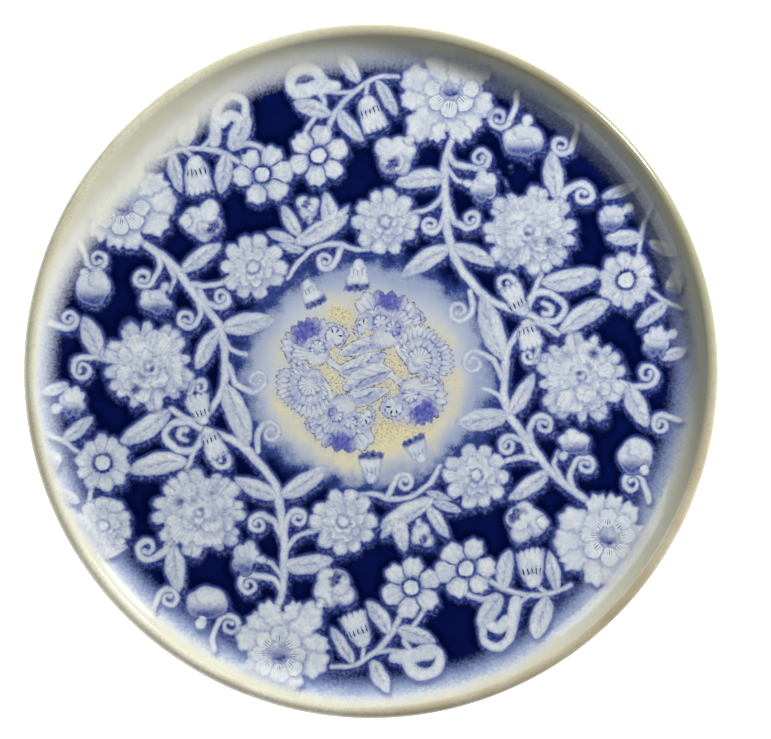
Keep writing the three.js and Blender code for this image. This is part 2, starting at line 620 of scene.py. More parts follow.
@dataclass(frozen=True)
class RoundBud(Motif):
    """A fat bud with a small cap at its stalk, and stippled shade on its lower side."""

    wide: float = 17.0
    tall: float = 14.0
    turned: float = 0.0
    cap: Point = 0j  # the cap's middle, on the sheet
    cap_size: float = 6.0
    lobes: int = 5
    depth: float = 0.12
    seed: int = 7

    @property
    def reach(self) -> float:
        """Return the radius that holds the motif."""
        return max(self.wide, self.tall) * 1.3 + abs(self.cap - self.at) + SPARE

    def body(self, z: Floats) -> Floats:
        """Return how far points lie inside the bud without its cap.

        Args:
            z: The points.

        Returns:
            Distances, negative outside.
        """
        q = (z - self.at) * np.exp(-1j * self.turned)
        even = q.real / self.wide + 1j * q.imag / self.tall
        lobe = scallops(np.angle(even), self.lobes, 0.7 * self.seed)
        edge = 1 - self.depth + self.depth * 1.6 * (lobe - 0.35)
        return (edge - np.abs(even)) * min(self.wide, self.tall)

    def inside(self, z: Floats) -> Floats:
        """Return how far each point lies inside the outline."""
        cap = self.cap_size - np.abs(z - self.cap)
        tie = stroke([self.cap, self.at], self.cap_size * 0.6, self.cap_size * 0.8)
        return np.maximum(np.maximum(self.body(z), cap), tie.inside(z))

    def marks(self, z: Floats, edge: Floats, down: float) -> Marks:
        """Return what is drawn inside, as Motif.marks does."""
        q = z - self.at
        low = smooth_step(q.imag * down / self.tall, -0.2, 0.8)
        cap = self.cap_size - np.abs(z - self.cap)
        outline = np.where(cap > 0, -BLANK_ROW, self.body(z))
        turned = q * np.exp(-1j * (self.turned + 0.5))
        fold = turned.imag + 3 * np.sin(turned.real * 0.3)
        tucked = smooth_step(fold, -6.0, -0.5) * fall(fold, -0.5, 0.5)
        shade = np.maximum(0.45 * tucked, low) * smooth_step(edge, 0.5, 3.0) * (cap < 0)
        wash = 0.75 * low ** 2 * (outline > -4) * (cap < 0)
        return Marks([cap], wash=wash, shade=shade)


def blot(q: Floats, size: float, turned: float) -> Floats:
    """Return an uneven patch about a middle, 1 within and 0 outside.

    Args:
        q: Points from the patch's middle.
        size: About how far it reaches.
        turned: The angle its raggedness is turned by.

    Returns:
        How much of the patch lies at each point.
    """
    angle = np.angle(q) + turned
    ragged = size * (0.8 + 0.24 * np.cos(2 * angle) + 0.14 * np.cos(5 * angle + turned))
    return fall(np.abs(q) / ragged, 0.55, 1.15)


@dataclass(frozen=True)
class OpenBud(Motif):
    """A half open bud: a few round lobes, a cap at the stalk, and dark blue in its mouth."""

    lobes: tuple[Disc, ...] = ()  # from its place
    cap: Point = 0j
    cap_size: float = 6.5
    mouth: Point = 0j
    mouth_size: float = 7.0

    SECOND = complex(9.0, -3.0)  # from the mouth back to a second patch
    SECOND_SIZE = 0.55  # of the first
    SHEETS = slice(1, 3)  # the lobes that throw a shade
    SHEET_SIZE = 0.86
    SHEET_SHIFT = 0.9

    @property
    def reach(self) -> float:
        """Return the radius that holds the motif."""
        return max(abs(p) + r for p, r in self.lobes) + abs(self.cap) + SPARE

    def inside(self, z: Floats) -> Floats:
        """Return how far each point lies inside the outline."""
        q = z - self.at
        best = self.cap_size - np.abs(q - self.cap)
        for middle, radius in self.lobes:
            best = np.maximum(best, radius - np.abs(q - middle))
        neck = stroke([self.cap, self.lobes[0][0]], self.cap_size * 0.7, self.cap_size)
        return np.maximum(best, neck.inside(q))

    def marks(self, z: Floats, edge: Floats, down: float) -> Marks:
        """Return what is drawn inside, as Motif.marks does."""
        q = z - self.at
        mouth = blot(q - self.mouth, self.mouth_size, 0.9)
        second = blot(q - self.mouth + self.SECOND, self.mouth_size * self.SECOND_SIZE, 2.4)
        rim = 0.3 * fall(edge, 1.0, 6.0)
        cap = self.cap_size * 1.05 - np.abs(q - self.cap)
        thrown = np.zeros(z.shape)
        for middle, radius in self.lobes[self.SHEETS]:
            sheet = radius * self.SHEET_SIZE - np.abs(q - middle * self.SHEET_SHIFT)
            thrown = np.maximum(thrown, smooth_step(sheet, -5.0, -0.3) * (sheet < 0))
        tucked = smooth_step(cap, -4.0, -0.3) * (cap < 0)
        side = lower_side(q, down)
        shade = np.maximum(0.6 * thrown * side, 0.6 * tucked)
        wash = np.maximum(np.maximum(0.85 * mouth, 0.4 * second), 1.4 * rim * side)
        return Marks([cap], wash=wash, shade=shade)


@dataclass(frozen=True)
class Tulip(Motif):
    """A bell shaped bud with a cap, a band of hatching below it and a fringed mouth."""

    mouth: Point = 0j
    neck_half: float = 7.0
    mouth_half: float = 15.0
    cap_size: float = 8.0
    dipped: float = 0.0  # how strongly its mouth is washed with blue

    FLARE = 0.55  # below 1, so that it widens quickest at the neck
    FRINGE = 1.7  # the depth of the mouth's points
    POINTS = 0.55
    MOUTH_BEND = 0.012
    CAP_SQUASH = 1.25  # its width over its height
    HATCHES = 0.26  # to a sheet unit, at the neck
    HATCH_INK = 1.5

    @property
    def reach(self) -> float:
        """Return the radius that holds the motif."""
        return abs(self.mouth - self.at) + self.mouth_half + SPARE

    def local(self, z: Floats) -> tuple[Floats, Floats, float]:
        """Return the points along and across the bell, and the bell's length.

        Args:
            z: The points.

        Returns:
            The way along, the way across, and the length.
        """
        axis = self.mouth - self.at
        length = abs(axis)
        q = (z - self.at) * np.conj(axis) / length
        return q.real, q.imag, length

    def inside(self, z: Floats) -> Floats:
        """Return how far each point lies inside the outline."""
        along, across, length = self.local(z)
        share = np.clip(along / length, 0, 1)
        half = self.neck_half + (self.mouth_half - self.neck_half) * share ** self.FLARE
        fringe = self.FRINGE * np.abs(np.sin(across * self.POINTS))
        crown = length + fringe + 1.5 - self.MOUTH_BEND * across ** 2 - along
        bell = np.minimum(np.minimum(half - np.abs(across), crown), along + 1.0)
        cap = self.cap_size - np.abs(along * self.CAP_SQUASH + 0.5 + 1j * across)
        return np.maximum(bell, cap)

    def marks(self, z: Floats, edge: Floats, down: float) -> Marks:
        """Return what is drawn inside, as Motif.marks does."""
        along, across, length = self.local(z)
        share = along / length
        cap = self.cap_size * 0.98 - np.abs(along * self.CAP_SQUASH + 0.5 + 1j * across)
        band = smooth_step(share, 0.16, 0.24) * fall(share, 0.34, 0.5) * (0.5 if self.dipped else 1.0)
        fringe = (0.2 if self.dipped else 0.7) * smooth_step(share, 0.8, 1.0)
        phase = across * self.HATCHES * (1 - 0.35 * share)
        ink = (self.HATCH_INK * band + fringe) * (cap < 0)
        wash = 0.15 * band + self.dipped * smooth_step(share, 0.66, 0.84)
        side = 0.5 * smooth_step(np.abs(across) / self.mouth_half, 0.5, 1.0)
        side = side + 0.3 * smooth_step(cap, -4, 0)
        return Marks([cap], phase, ink, wash, side * (cap < 0))


@dataclass(frozen=True)
class Fan(Motif):
    """A centre flower like a fan: a scalloped dome streaked from its heart, washed blue."""

    degrees: float = 0.0  # the way it opens
    spread: float = 1.1  # half the fan's angle, in radians
    radius: float = 24.0
    lobes: int = 9
    streaks: float = 0.5  # how dark the fine lines from the heart are
    ticks: bool = False  # a few bold short strokes in place of the streaks
    squash: float = 1.0  # width across the fan over its length
    seed: int = 9
    pool: Pool = Pool()

    SHUT = 0.34  # the radius behind the heart, as a share of the whole
    CLOSING = 0.8  # how far past its spread it is shut, in radians

    @property
    def reach(self) -> float:
        """Return the radius that holds the motif."""
        return self.radius * 1.2 + SPARE

    def local(self, z: Floats) -> Floats:
        """Return the points from the fan's heart, with the fan opening to the right."""
        q = (z - self.at) * np.exp(-1j * math.radians(self.degrees))
        return q.real + 1j * q.imag / self.squash

    def inside(self, z: Floats) -> Floats:
        """Return how far each point lies inside the outline."""
        q = self.local(z)
        angle = np.angle(q)
        uneven = 0.06 * np.cos(3 * angle + self.seed) + 0.03 * np.cos(5 * angle - self.seed)
        shut = smooth_step(np.abs(angle), self.spread, self.spread + self.CLOSING)
        tips = 0.94 + uneven + 0.10 * (scallops(angle, self.lobes * 3, 0.1) - 0.4)
        return (self.radius * tips * (1 - (1 - self.SHUT) * shut) - np.abs(q)) * 0.9

    def marks(self, z: Floats, edge: Floats, down: float) -> Marks:
        """Return what is drawn inside, as Motif.marks does."""
        q = self.local(z)
        angle = np.angle(q)
        r = np.abs(q) / self.radius
        phase = angle * self.lobes * (0.6 if self.ticks else 1.0) / self.spread / 2
        ink = self.streaks * smooth_step(r, 0.1, 0.3) * fall(r, 0.75, 1.0)
        if self.ticks:
            ink = 1.5 * smooth_step(r, 0.2, 0.34) * fall(r, 0.42, 0.66)
            ink = ink * smooth_step(np.cos(angle), -0.1, 0.5)
        wash = self.pool.over(z - self.at, 0.35)
        inner = self.radius * (0.60 + 0.08 * scallops(angle, self.lobes * 2, 0.6)) - np.abs(q)
        shade = 0.6 * smooth_step(inner, -4.0, -0.2) * (inner < 0)
        shade = np.maximum(shade, 0.45 * fall(edge, 0.5, 3.0))
        return Marks([inner], phase, ink, wash, shade)


@dataclass(frozen=True)
class Pinholes(Motif):
    """A few white pinholes scattered in the glaze."""

    count: int = 8
    spread: float = 20.0
    seed: int = 4

    @property
    def reach(self) -> float:
        """Return the radius that holds the motif."""
        return self.spread * 2 + SPARE

    def inside(self, z: Floats) -> Floats:
        """Return how far each point lies inside the outline."""
        chance = np.random.default_rng(self.seed)
        best = np.full(z.shape, OUTSIDE)
        for _ in range(self.count):
            spot = self.at + complex(chance.normal(), chance.normal() * 0.6) * self.spread * 0.6
            best = np.maximum(best, chance.uniform(0.6, 1.5) - np.abs(z - spot))
        return best


@dataclass
class Placed:
    """A motif on the sheet, either as drawn or turned by half a turn about the pivot."""

    motif: Motif
    turned: bool = False
    over: bool = False  # it covers what it meets, and its outline shows there

    def spot(self) -> Point:
        """Return where the motif's own place lies on the sheet."""
        return 2 * PRINT_PIVOT - self.motif.at if self.turned else self.motif.at

    def own(self, z: Floats) -> Floats:
        """Return the sheet's points as the motif itself is drawn."""
        return 2 * PRINT_PIVOT - z if self.turned else z


@dataclass
class Drawing:
    """The whole print, worked out at a set of points."""

    white: Floats  # how far inside the border's motifs
    bloom: Floats  # how far inside the motifs that cover others
    figure: Floats  # how far inside the centre's figures
    rows: Floats  # these and the rest are the uppermost motif's marks
    phase: Floats
    ink: Floats
    wash: Floats
    shade: Floats

    @classmethod
    def blank(cls, count: int, far: float) -> "Drawing":
        """Return a drawing of nothing at a number of points, all far outside.

        Args:
            count: How many points.
            far: The distance that stands for outside.

        Returns:
            The drawing.
        """
        outlines = [np.full(count, far) for _ in range(3)]
        tones = [np.zeros(count) for _ in Marks.TONES]
        return cls(*outlines, np.full((count, ROW_COUNT), BLANK_ROW), *tones)

    def lay(self, marks: Marks, mine: Floats, keep: Floats) -> None:
        """Draw a motif's marks where it is the uppermost.

        Args:
            marks: The marks, at all the points that the motif can reach.
            mine: Which of those points take them.
            keep: The indices of those points in the drawing.
        """
        for k in range(ROW_COUNT):
            self.rows[keep, k] = marks.rows[k][mine] if k < len(marks.rows) else BLANK_ROW
        for tone in Marks.TONES:
            getattr(self, tone)[keep] = np.broadcast_to(getattr(marks, tone), mine.shape)[mine]


class Print:
    """The print: its motifs, in the order they are laid over each other."""

    MARGIN = 12.0  # how far outside its outline a motif is still felt
    FAR = -MARGIN
    BLEED = 1.6  # how far past its outline a motif's marks cover those below
    SHADOW = complex(2.0, 5.6)  # the way motifs throw their stippled shadows

    def __init__(self) -> None:
        """Lay out the border's motifs and the centre's."""
        self.border = BorderLayout().placed()
        self.centre = CentreLayout().placed()

    @staticmethod
    def wobble(z: Floats) -> Floats:
        """Return the points a little displaced, as a hand draws them.

        Args:
            z: The points.

        Returns:
            The displaced points.
        """
        x, y = z.real, z.imag
        dx = 0.55 * np.sin(0.11 * y + 1.3) + 0.4 * np.sin(0.23 * x + 0.19 * y)
        dy = 0.55 * np.sin(0.12 * x + 0.4) + 0.4 * np.sin(0.21 * y - 0.17 * x + 2)
        dx = dx + 0.25 * np.sin(0.5 * y - 0.2 * x)
        dy = dy + 0.25 * np.sin(0.47 * x + 0.3 * y)
        return z + dx + 1j * dy

    def near(self, z: Floats, placed: Placed) -> Floats:
        """Return the indices of the points that a motif can reach.

        Args:
            z: The points.
            placed: The motif in its place.

        Returns:
            The indices.
        """
        reach = placed.motif.reach + self.MARGIN
        spot = placed.spot()
        close = (np.abs(z.real - spot.real) < reach) & (np.abs(z.imag - spot.imag) < reach)
        return np.nonzero(close)[0]

    def outline(self, z: Floats, layout: list[Placed]) -> Floats:
        """Return how far each point lies inside the nearest motif of a layout.

        Args:
            z: The points.
            layout: The motifs in their places.

        Returns:
            Distances, negative outside.
        """
        z = self.wobble(z)
        best = np.full(z.shape, self.FAR)
        for placed in layout:
            idx = self.near(z, placed)
            best[idx] = np.maximum(best[idx], placed.motif.inside(placed.own(z[idx])))
        return best

    def draw(self, points: Floats) -> Drawing:
        """Work out the whole print at the points.

        Args:
            points: The points, on the sheet.

        Returns:
            Every distance and mark at each point.
        """
        z = self.wobble(points)
        drawn = Drawing.blank(len(z), self.FAR)
        owner = np.full(z.shape, self.FAR)
        for layout, outline in ((self.border, drawn.white), (self.centre, drawn.figure)):
            for placed in layout:
                idx = self.near(z, placed)
                own = placed.own(z[idx])
                edge = placed.motif.inside(own)
                outline[idx] = np.maximum(outline[idx], edge)
                if placed.over:
                    drawn.bloom[idx] = np.maximum(drawn.bloom[idx], edge)
                marks = placed.motif.marks(own, edge, -1.0 if placed.turned else 1.0)
                mine = (edge > -self.BLEED) | (edge > owner[idx])
                keep = idx[mine]
                owner[keep] = edge[mine]
                drawn.lay(marks, mine, keep)
        return drawn


def xy(x: float, y: float) -> Point:
    """Return a place on the engraver's sheet."""
    return complex(x, y)


def line_of(*numbers: float) -> list[Point]:
    """Return the places whose x and y are given in turn."""
    return [complex(x, y) for x, y in zip(numbers[::2], numbers[1::2])]


class BorderLayout:
    """The white flowers and stems on the blue ground: half of them, and their turned copies."""

    def stems(self) -> list[Motif]:
        """Return the stems and branches, thick ones first."""
        return [
            stroke(line_of(144, 243, 162, 257, 181, 275, 199, 300, 218, 325, 224, 345, 225, 368),
                   3.6, 4.6, 4.2, 4.2),
            stroke(line_of(225, 366, 223, 386, 216, 403, 203, 418, 189, 419, 171, 410),
                   4.4, 3.6, 2.8),
            stroke(line_of(454, 132, 447, 151, 445, 172, 446, 205, 449, 235, 456, 260, 470, 280),
                   3.2, 4.2, 4.6, 4.2),
            stroke(line_of(470, 280, 487, 298, 507, 307, 525, 313, 541, 322, 557, 333),
                   4.6, 4.0, 3.2),
            stroke(line_of(192, 283, 206, 286, 222, 283, 234, 274), 3.2, 2.8),
            stroke(line_of(166, 262, 174, 278, 170, 291), 3.0, 2.4),
            stroke(line_of(221, 334, 230, 348, 246, 354), 3.2, 2.6),
            stroke(line_of(446, 189, 436, 204, 422, 211, 408, 213), 3.0, 2.6),
            stroke(line_of(447, 166, 456, 178, 467, 183), 3.0, 2.6),
            stroke(line_of(158, 158, 181, 149, 204, 148, 226, 155, 248, 167), 2.4, 2.9, 3.0),
            stroke(line_of(199, 148, 210, 139, 218, 128), 2.6, 2.4),
            stroke(line_of(184, 150, 190, 155, 194, 162), 2.6, 2.6),
            stroke(line_of(232, 148, 248, 143, 264, 150), 3.0, 3.0),
            stroke(line_of(398, 76, 378, 77, 364, 84, 350, 94, 337, 110, 328, 128), 2.4, 2.9, 3.0),
            stroke(line_of(364, 84, 350, 91, 334, 92, 320, 90), 2.8, 2.4),
            stroke(line_of(320, 94, 324, 105, 313, 120, 302, 137), 3.2, 2.9),
            stroke(line_of(367, 85, 366, 94, 368, 103), 2.6, 2.6),
            stroke(line_of(288, 277, 300, 259, 318, 247, 340, 244, 357, 249, 386, 246), 2.9, 2.9),
            stroke(line_of(542, 274, 532, 300, 524, 315), 3.0, 2.8),
            stroke(line_of(652, 203, 643, 231, 638, 256), 2.3, 2.6),
            stroke(line_of(650, 290, 666, 301, 682, 309), 2.7, 2.3),
            stroke(line_of(539, 321, 556, 320, 565, 307, 553, 294, 538, 293, 527, 302),
                   3.8, 3.8, 3.4),
            stroke(line_of(543, 303, 551, 306, 550, 313, 544, 314), 2.8, 3.4),
            stroke(line_of(214, 141, 216, 124, 219, 106, 231, 96, 244, 101, 246, 115),
                   7.0, 6.0, 4.6, 4.6, 4.2),
            stroke(line_of(222, 122, 231, 115, 241, 119), 6.6, 6.0),
            stroke(line_of(308, 92, 297, 93, 290, 85, 293, 73, 304, 68, 315, 71, 322, 81),
                   5.8, 5.8, 6.0, 6.6),
            stroke(line_of(300, 89, 318, 87, 335, 86), 6.5, 8.5, 6.0),
        ]

    def curls(self) -> list[Motif]:
        """Return the curled tendrils."""
        return [
            Curl(xy(143, 277), xy(157, 254), (xy(159, 269),), 10.5),
            Curl(xy(221, 298), xy(200, 290), (xy(207, 303),), 9.8, False),
            Curl(xy(186, 318), xy(198, 298), (xy(200, 313),), 10.6),
            Curl(xy(82, 369), xy(108, 361), (xy(96, 356),), 11.8, False),
            Curl(xy(68, 319), xy(50, 323), (), 10.0, False),
            Curl(xy(97, 259), xy(80, 242), (), 11.0, False),
            Curl(xy(325, 261), xy(342, 245), (), 9.6),
            Curl(xy(256, 380), xy(228, 366), (xy(236, 384),), 12.2, False),
            Curl(xy(200, 387), xy(189, 399), (), 8.6, True, 1.0),
            Curl(xy(480, 158), xy(449, 154), (xy(457, 164),), 11.0, False),
            Curl(xy(471, 219), xy(449, 208), (xy(455, 221),), 10.2, False),
            Curl(xy(431, 225), xy(446, 204), (xy(443, 220),), 9.2),
            Curl(xy(499, 117), xy(516, 92), (xy(516, 108),), 11.8),
            Curl(xy(561, 144), xy(577, 116), (xy(577, 132),), 11.0),
            Curl(xy(583, 195), xy(560, 204), (xy(565, 191),), 12.0, True, 1.2, 4.6),
            Curl(xy(506, 284), xy(521, 297), (), 10.4, False, 1.0),
            Curl(xy(459, 310), xy(471, 292), (xy(473, 306),), 12.0),
        ]

    def leaves(self) -> list[Motif]:
        """Return the leaves, each from its stalk to its tip."""
        return [
            Leaf(xy(101, 356), xy(82, 316), 22),
            Leaf(xy(181, 272), xy(222, 244), 19, -2),
            Leaf(xy(222, 329), xy(275, 321), 24, -2),
            Leaf(xy(220, 328), xy(196, 370), 19, 2),
            Leaf(xy(225, 385), xy(247, 448), 26, -2),
            Leaf(xy(169, 411), xy(118, 443), 23, -2),
            Leaf(xy(187, 461), xy(128, 471), 24, 2),
            Leaf(xy(225, 152), xy(219, 194), 19, -2),
            Leaf(xy(172, 152), xy(181, 193), 16, 1),
            Leaf(xy(229, 149), xy(249, 114), 21, 1),
            Leaf(xy(332, 115), xy(292, 100), 18, 0),
            Leaf(xy(338, 108), xy(364, 141), 18, 2),
            Leaf(xy(376, 79), xy(398, 116), 15, 0),
            Leaf(xy(358, 81), xy(340, 50), 18, 0),
            Leaf(xy(446, 178), xy(395, 183), 21, 2),
            Leaf(xy(450, 246), xy(400, 277), 21, 1),
            Leaf(xy(451, 245), xy(496, 266), 19, -1),
            Leaf(xy(557, 198), xy(551, 150), 22, 0),
            Leaf(xy(638, 185), xy(601, 197), 14, 0),
            Leaf(xy(644, 238), xy(606, 237), 18, 0),
            Leaf(xy(668, 300), xy(636, 328), 16, 0),
            Leaf(xy(650, 241), xy(679, 255), 15, 0),
            Leaf(xy(182, 146), xy(194, 103), 22, 0),
            Leaf(xy(68, 386), xy(42, 393), 15, 0),
            Leaf(xy(300, 236), xy(281, 205), 16, 0),
            Leaf(xy(333, 232), xy(325, 192), 19, 0),
            Leaf(xy(327, 234), xy(349, 203), 12, 0),
            Leaf(xy(296, 241), xy(266, 232), 12, 0),
            Leaf(xy(304, 250), xy(277, 244), 11, 0),
            Leaf(xy(294, 243), xy(350, 214), 21, 2),
            Leaf(xy(300, 241), xy(336, 222), 15, -2),
        ]

    def buds(self) -> list[Motif]:
        """Return the round buds, the half open ones and the tulips."""
        return [
            RoundBud(xy(155, 301), 18.5, 13.5, 0.35, xy(165, 287), 5.4, 5, 0.11, 7),
            RoundBud(xy(93, 287), 18.5, 20.0, 0.5, xy(84, 272), 5.6, 5, 0.05, 3),
            RoundBud(xy(523, 140), 22.5, 17.5, 0.05, xy(528, 120), 7.0, 6, 0.045, 5),
            RoundBud(xy(484, 186), 14.5, 19.0, 0.35, xy(468, 183), 5.2, 5, 0.14, 4),
            RoundBud(xy(612, 217), 14.0, 14.5, 0.0, xy(629, 208), 6.0, 9, 0.07, 2),
            RoundBud(xy(657, 341), 14.5, 17.5, 0.2, xy(673, 334), 6.0, 8, 0.10, 8),
            RoundBud(xy(676, 282), 10.5, 12.5, 0.2, xy(680, 273), 4.6, 4, 0.10, 6),
            OpenBud(
                xy(398, 153),
                ((xy(3, -3), 15.5), (xy(-13, -5), 11.5), (xy(-7, 8), 13.5), (xy(4, 12), 10.5)),
                xy(12, -15), 6.0, xy(-5, 11), 10.0,
            ),
            OpenBud(
                xy(200.5, 220),
                ((xy(-5, 0), 15.0), (xy(8, -10), 11.5), (xy(10, 5), 13.0), (xy(4, 12), 10.5)),
                xy(-16, 0), 6.5, xy(13, 8), 10.0,
            ),
            OpenBud(
                xy(307, 209),
                ((xy(1, 3), 9.5), (xy(-5, -7), 8.0), (xy(5, -5), 7.5)),
                xy(3, 12), 4.0, xy(-1, -6), 6.5,
            ),
            Tulip(xy(195, 162), xy(200, 192), 10.0, 15.5, 9.5),
            Tulip(xy(367, 103), xy(377, 129), 9.5, 14.5, 9.5),
            Tulip(xy(203, 420), xy(196, 396), 6.0, 14.0, 6.5),
            Tulip(xy(522, 311), xy(511, 287), 5.5, 12.5, 6.0),
            Tulip(xy(358, 264), xy(358, 290), 6.5, 14.5, 7.0, 0.9),
            Tulip(xy(307, 284), xy(317, 305), 6.0, 13.5, 6.5, 0.9),
        ]

    def flowers(self) -> list[Motif]:
        """Return the flowers, which lie over the rest."""
        return [
            chrysanthemum(xy(462, 72), 31.0, 9),
            chrysanthemum(xy(99, 190), 31.0, 9),
            RimFlower(xy(445, 100), xy(6, -11), 48.0, 5),
            RimFlower(xy(126, 204), xy(-5, 2), 48.0, 8),
            blossom(xy(262.5, 174.5), 32.5, -8, 1),
            blossom(xy(318, 155.5), 33.0, -28, 4),
            daisy(xy(626.5, 280), 30.5, 2),
            chrysanthemum(xy(253, 267), 35.5, 4),
            chrysanthemum(xy(385.5, 222), 36.0, 6),
            peony(
                xy(148, 366), 47.0, 1.03, 3,
                Pool(xy(-13, 23), 8.0, 0.8), Pool(xy(2, 3), 4.5, 0.8),
                Pool(xy(-8, 10), 6.0, 0.5), Pool(xy(13, 22), 8.0, 0.3),
            ),
            peony(
                xy(530, 230.5), 50.0, 0.93, 11,
                Pool(xy(20, 10), 7.5, 0.8), Pool(xy(-2, 3), 4.5, 0.7),
                Pool(xy(6, 13), 6.0, 0.5), Pool(xy(-12, 18), 6.0, 0.3),
            ),
        ]

    def lone_flower(self) -> Motif:
        """Return the one flower that has no turned copy, by the flank at the lower left."""
        return chrysanthemum(xy(103, 526), 31.0, 3)

    def placed(self) -> list[Placed]:
        """Return every motif with its turned copy, in the order they are laid down.

        Returns:
            The motifs in their places.
        """
        under = [*self.stems(), *self.curls(), *self.leaves()]
        laid = [Placed(motif, turned) for motif in under for turned in (False, True)]
        laid.append(Placed(Pinholes(xy(503, 178))))
        over = [*self.buds(), *self.flowers()]
        laid += [Placed(motif, turned, True) for motif in over for turned in (False, True)]
        laid.append(Placed(self.lone_flower(), False, True))
        return laid


class CentreLayout:
    """The thinly outlined flowers on the cream centre: half, and their turned copies."""

    def figures(self) -> list[Motif]:
        """Return the centre's motifs in the order they are laid down."""
        return [
            stroke(line_of(318, 352, 330, 362, 342, 370, 350, 378), 2.6, 2.2),
            stroke(line_of(388, 330, 398, 346, 408, 362, 424, 375), 2.8, 2.4),
            stroke(line_of(300, 366, 312, 374, 322, 386, 324, 404), 2.4, 2.2),
            Leaf(xy(350, 349), xy(392, 341), 12, -2, 0.4),
            Leaf(xy(330, 402), xy(390, 389), 17, 3, 0.5),
            Leaf(xy(338, 372), xy(386, 354), 20, 2, 0.7),
            Fan(xy(411, 322), -70, 1.0, 15.0, 4, 0.6, seed=2),
            Fan(xy(300, 355), 150, 1.3, 15.0, 4, 0.6, seed=2),
            Fan(xy(386, 334), -87, 0.62, 44.0, 7, 0.45, squash=1.05, seed=8,
                pool=Pool(xy(3, -36), 21.0, 0.95)),
            Fan(xy(317, 354), -112, 1.0, 37.0, 9, 0.45, seed=1,
                pool=Pool(xy(-12, -24), 22.0, 0.95)),
            Fan(xy(318, 349), -80, 1.6, 12.0, 4, 0.7, seed=4),
            Fan(xy(335, 336), -60, 2.2, 13.5, 7, 0.0, ticks=True, seed=4),
            Fan(xy(365, 326), -110, 2.2, 12.5, 7, 0.0, ticks=True, seed=6),
            Fan(xy(380, 322), -90, 2.0, 10.5, 4, 0.7, seed=6),
            Fan(xy(393, 328), -60, 2.2, 10.5, 5, 0.7, seed=7, pool=Pool(xy(3, 2), 8.0, 0.5)),
            Fan(xy(418, 362), -52, 1.15, 37.0, 13, 0.6, squash=0.92, seed=9,
                pool=Pool(xy(20, -18), 10.0, 0.25)),
            Fan(xy(419, 360), -55, 1.3, 20.0, 6, 0.6, squash=0.9, seed=2),
        ]

    def placed(self) -> list[Placed]:
        """Return every motif with its turned copy, in the order they are laid down."""
        return [Placed(motif, turned, True) for motif in self.figures() for turned in (False, True)]


# The plate's body


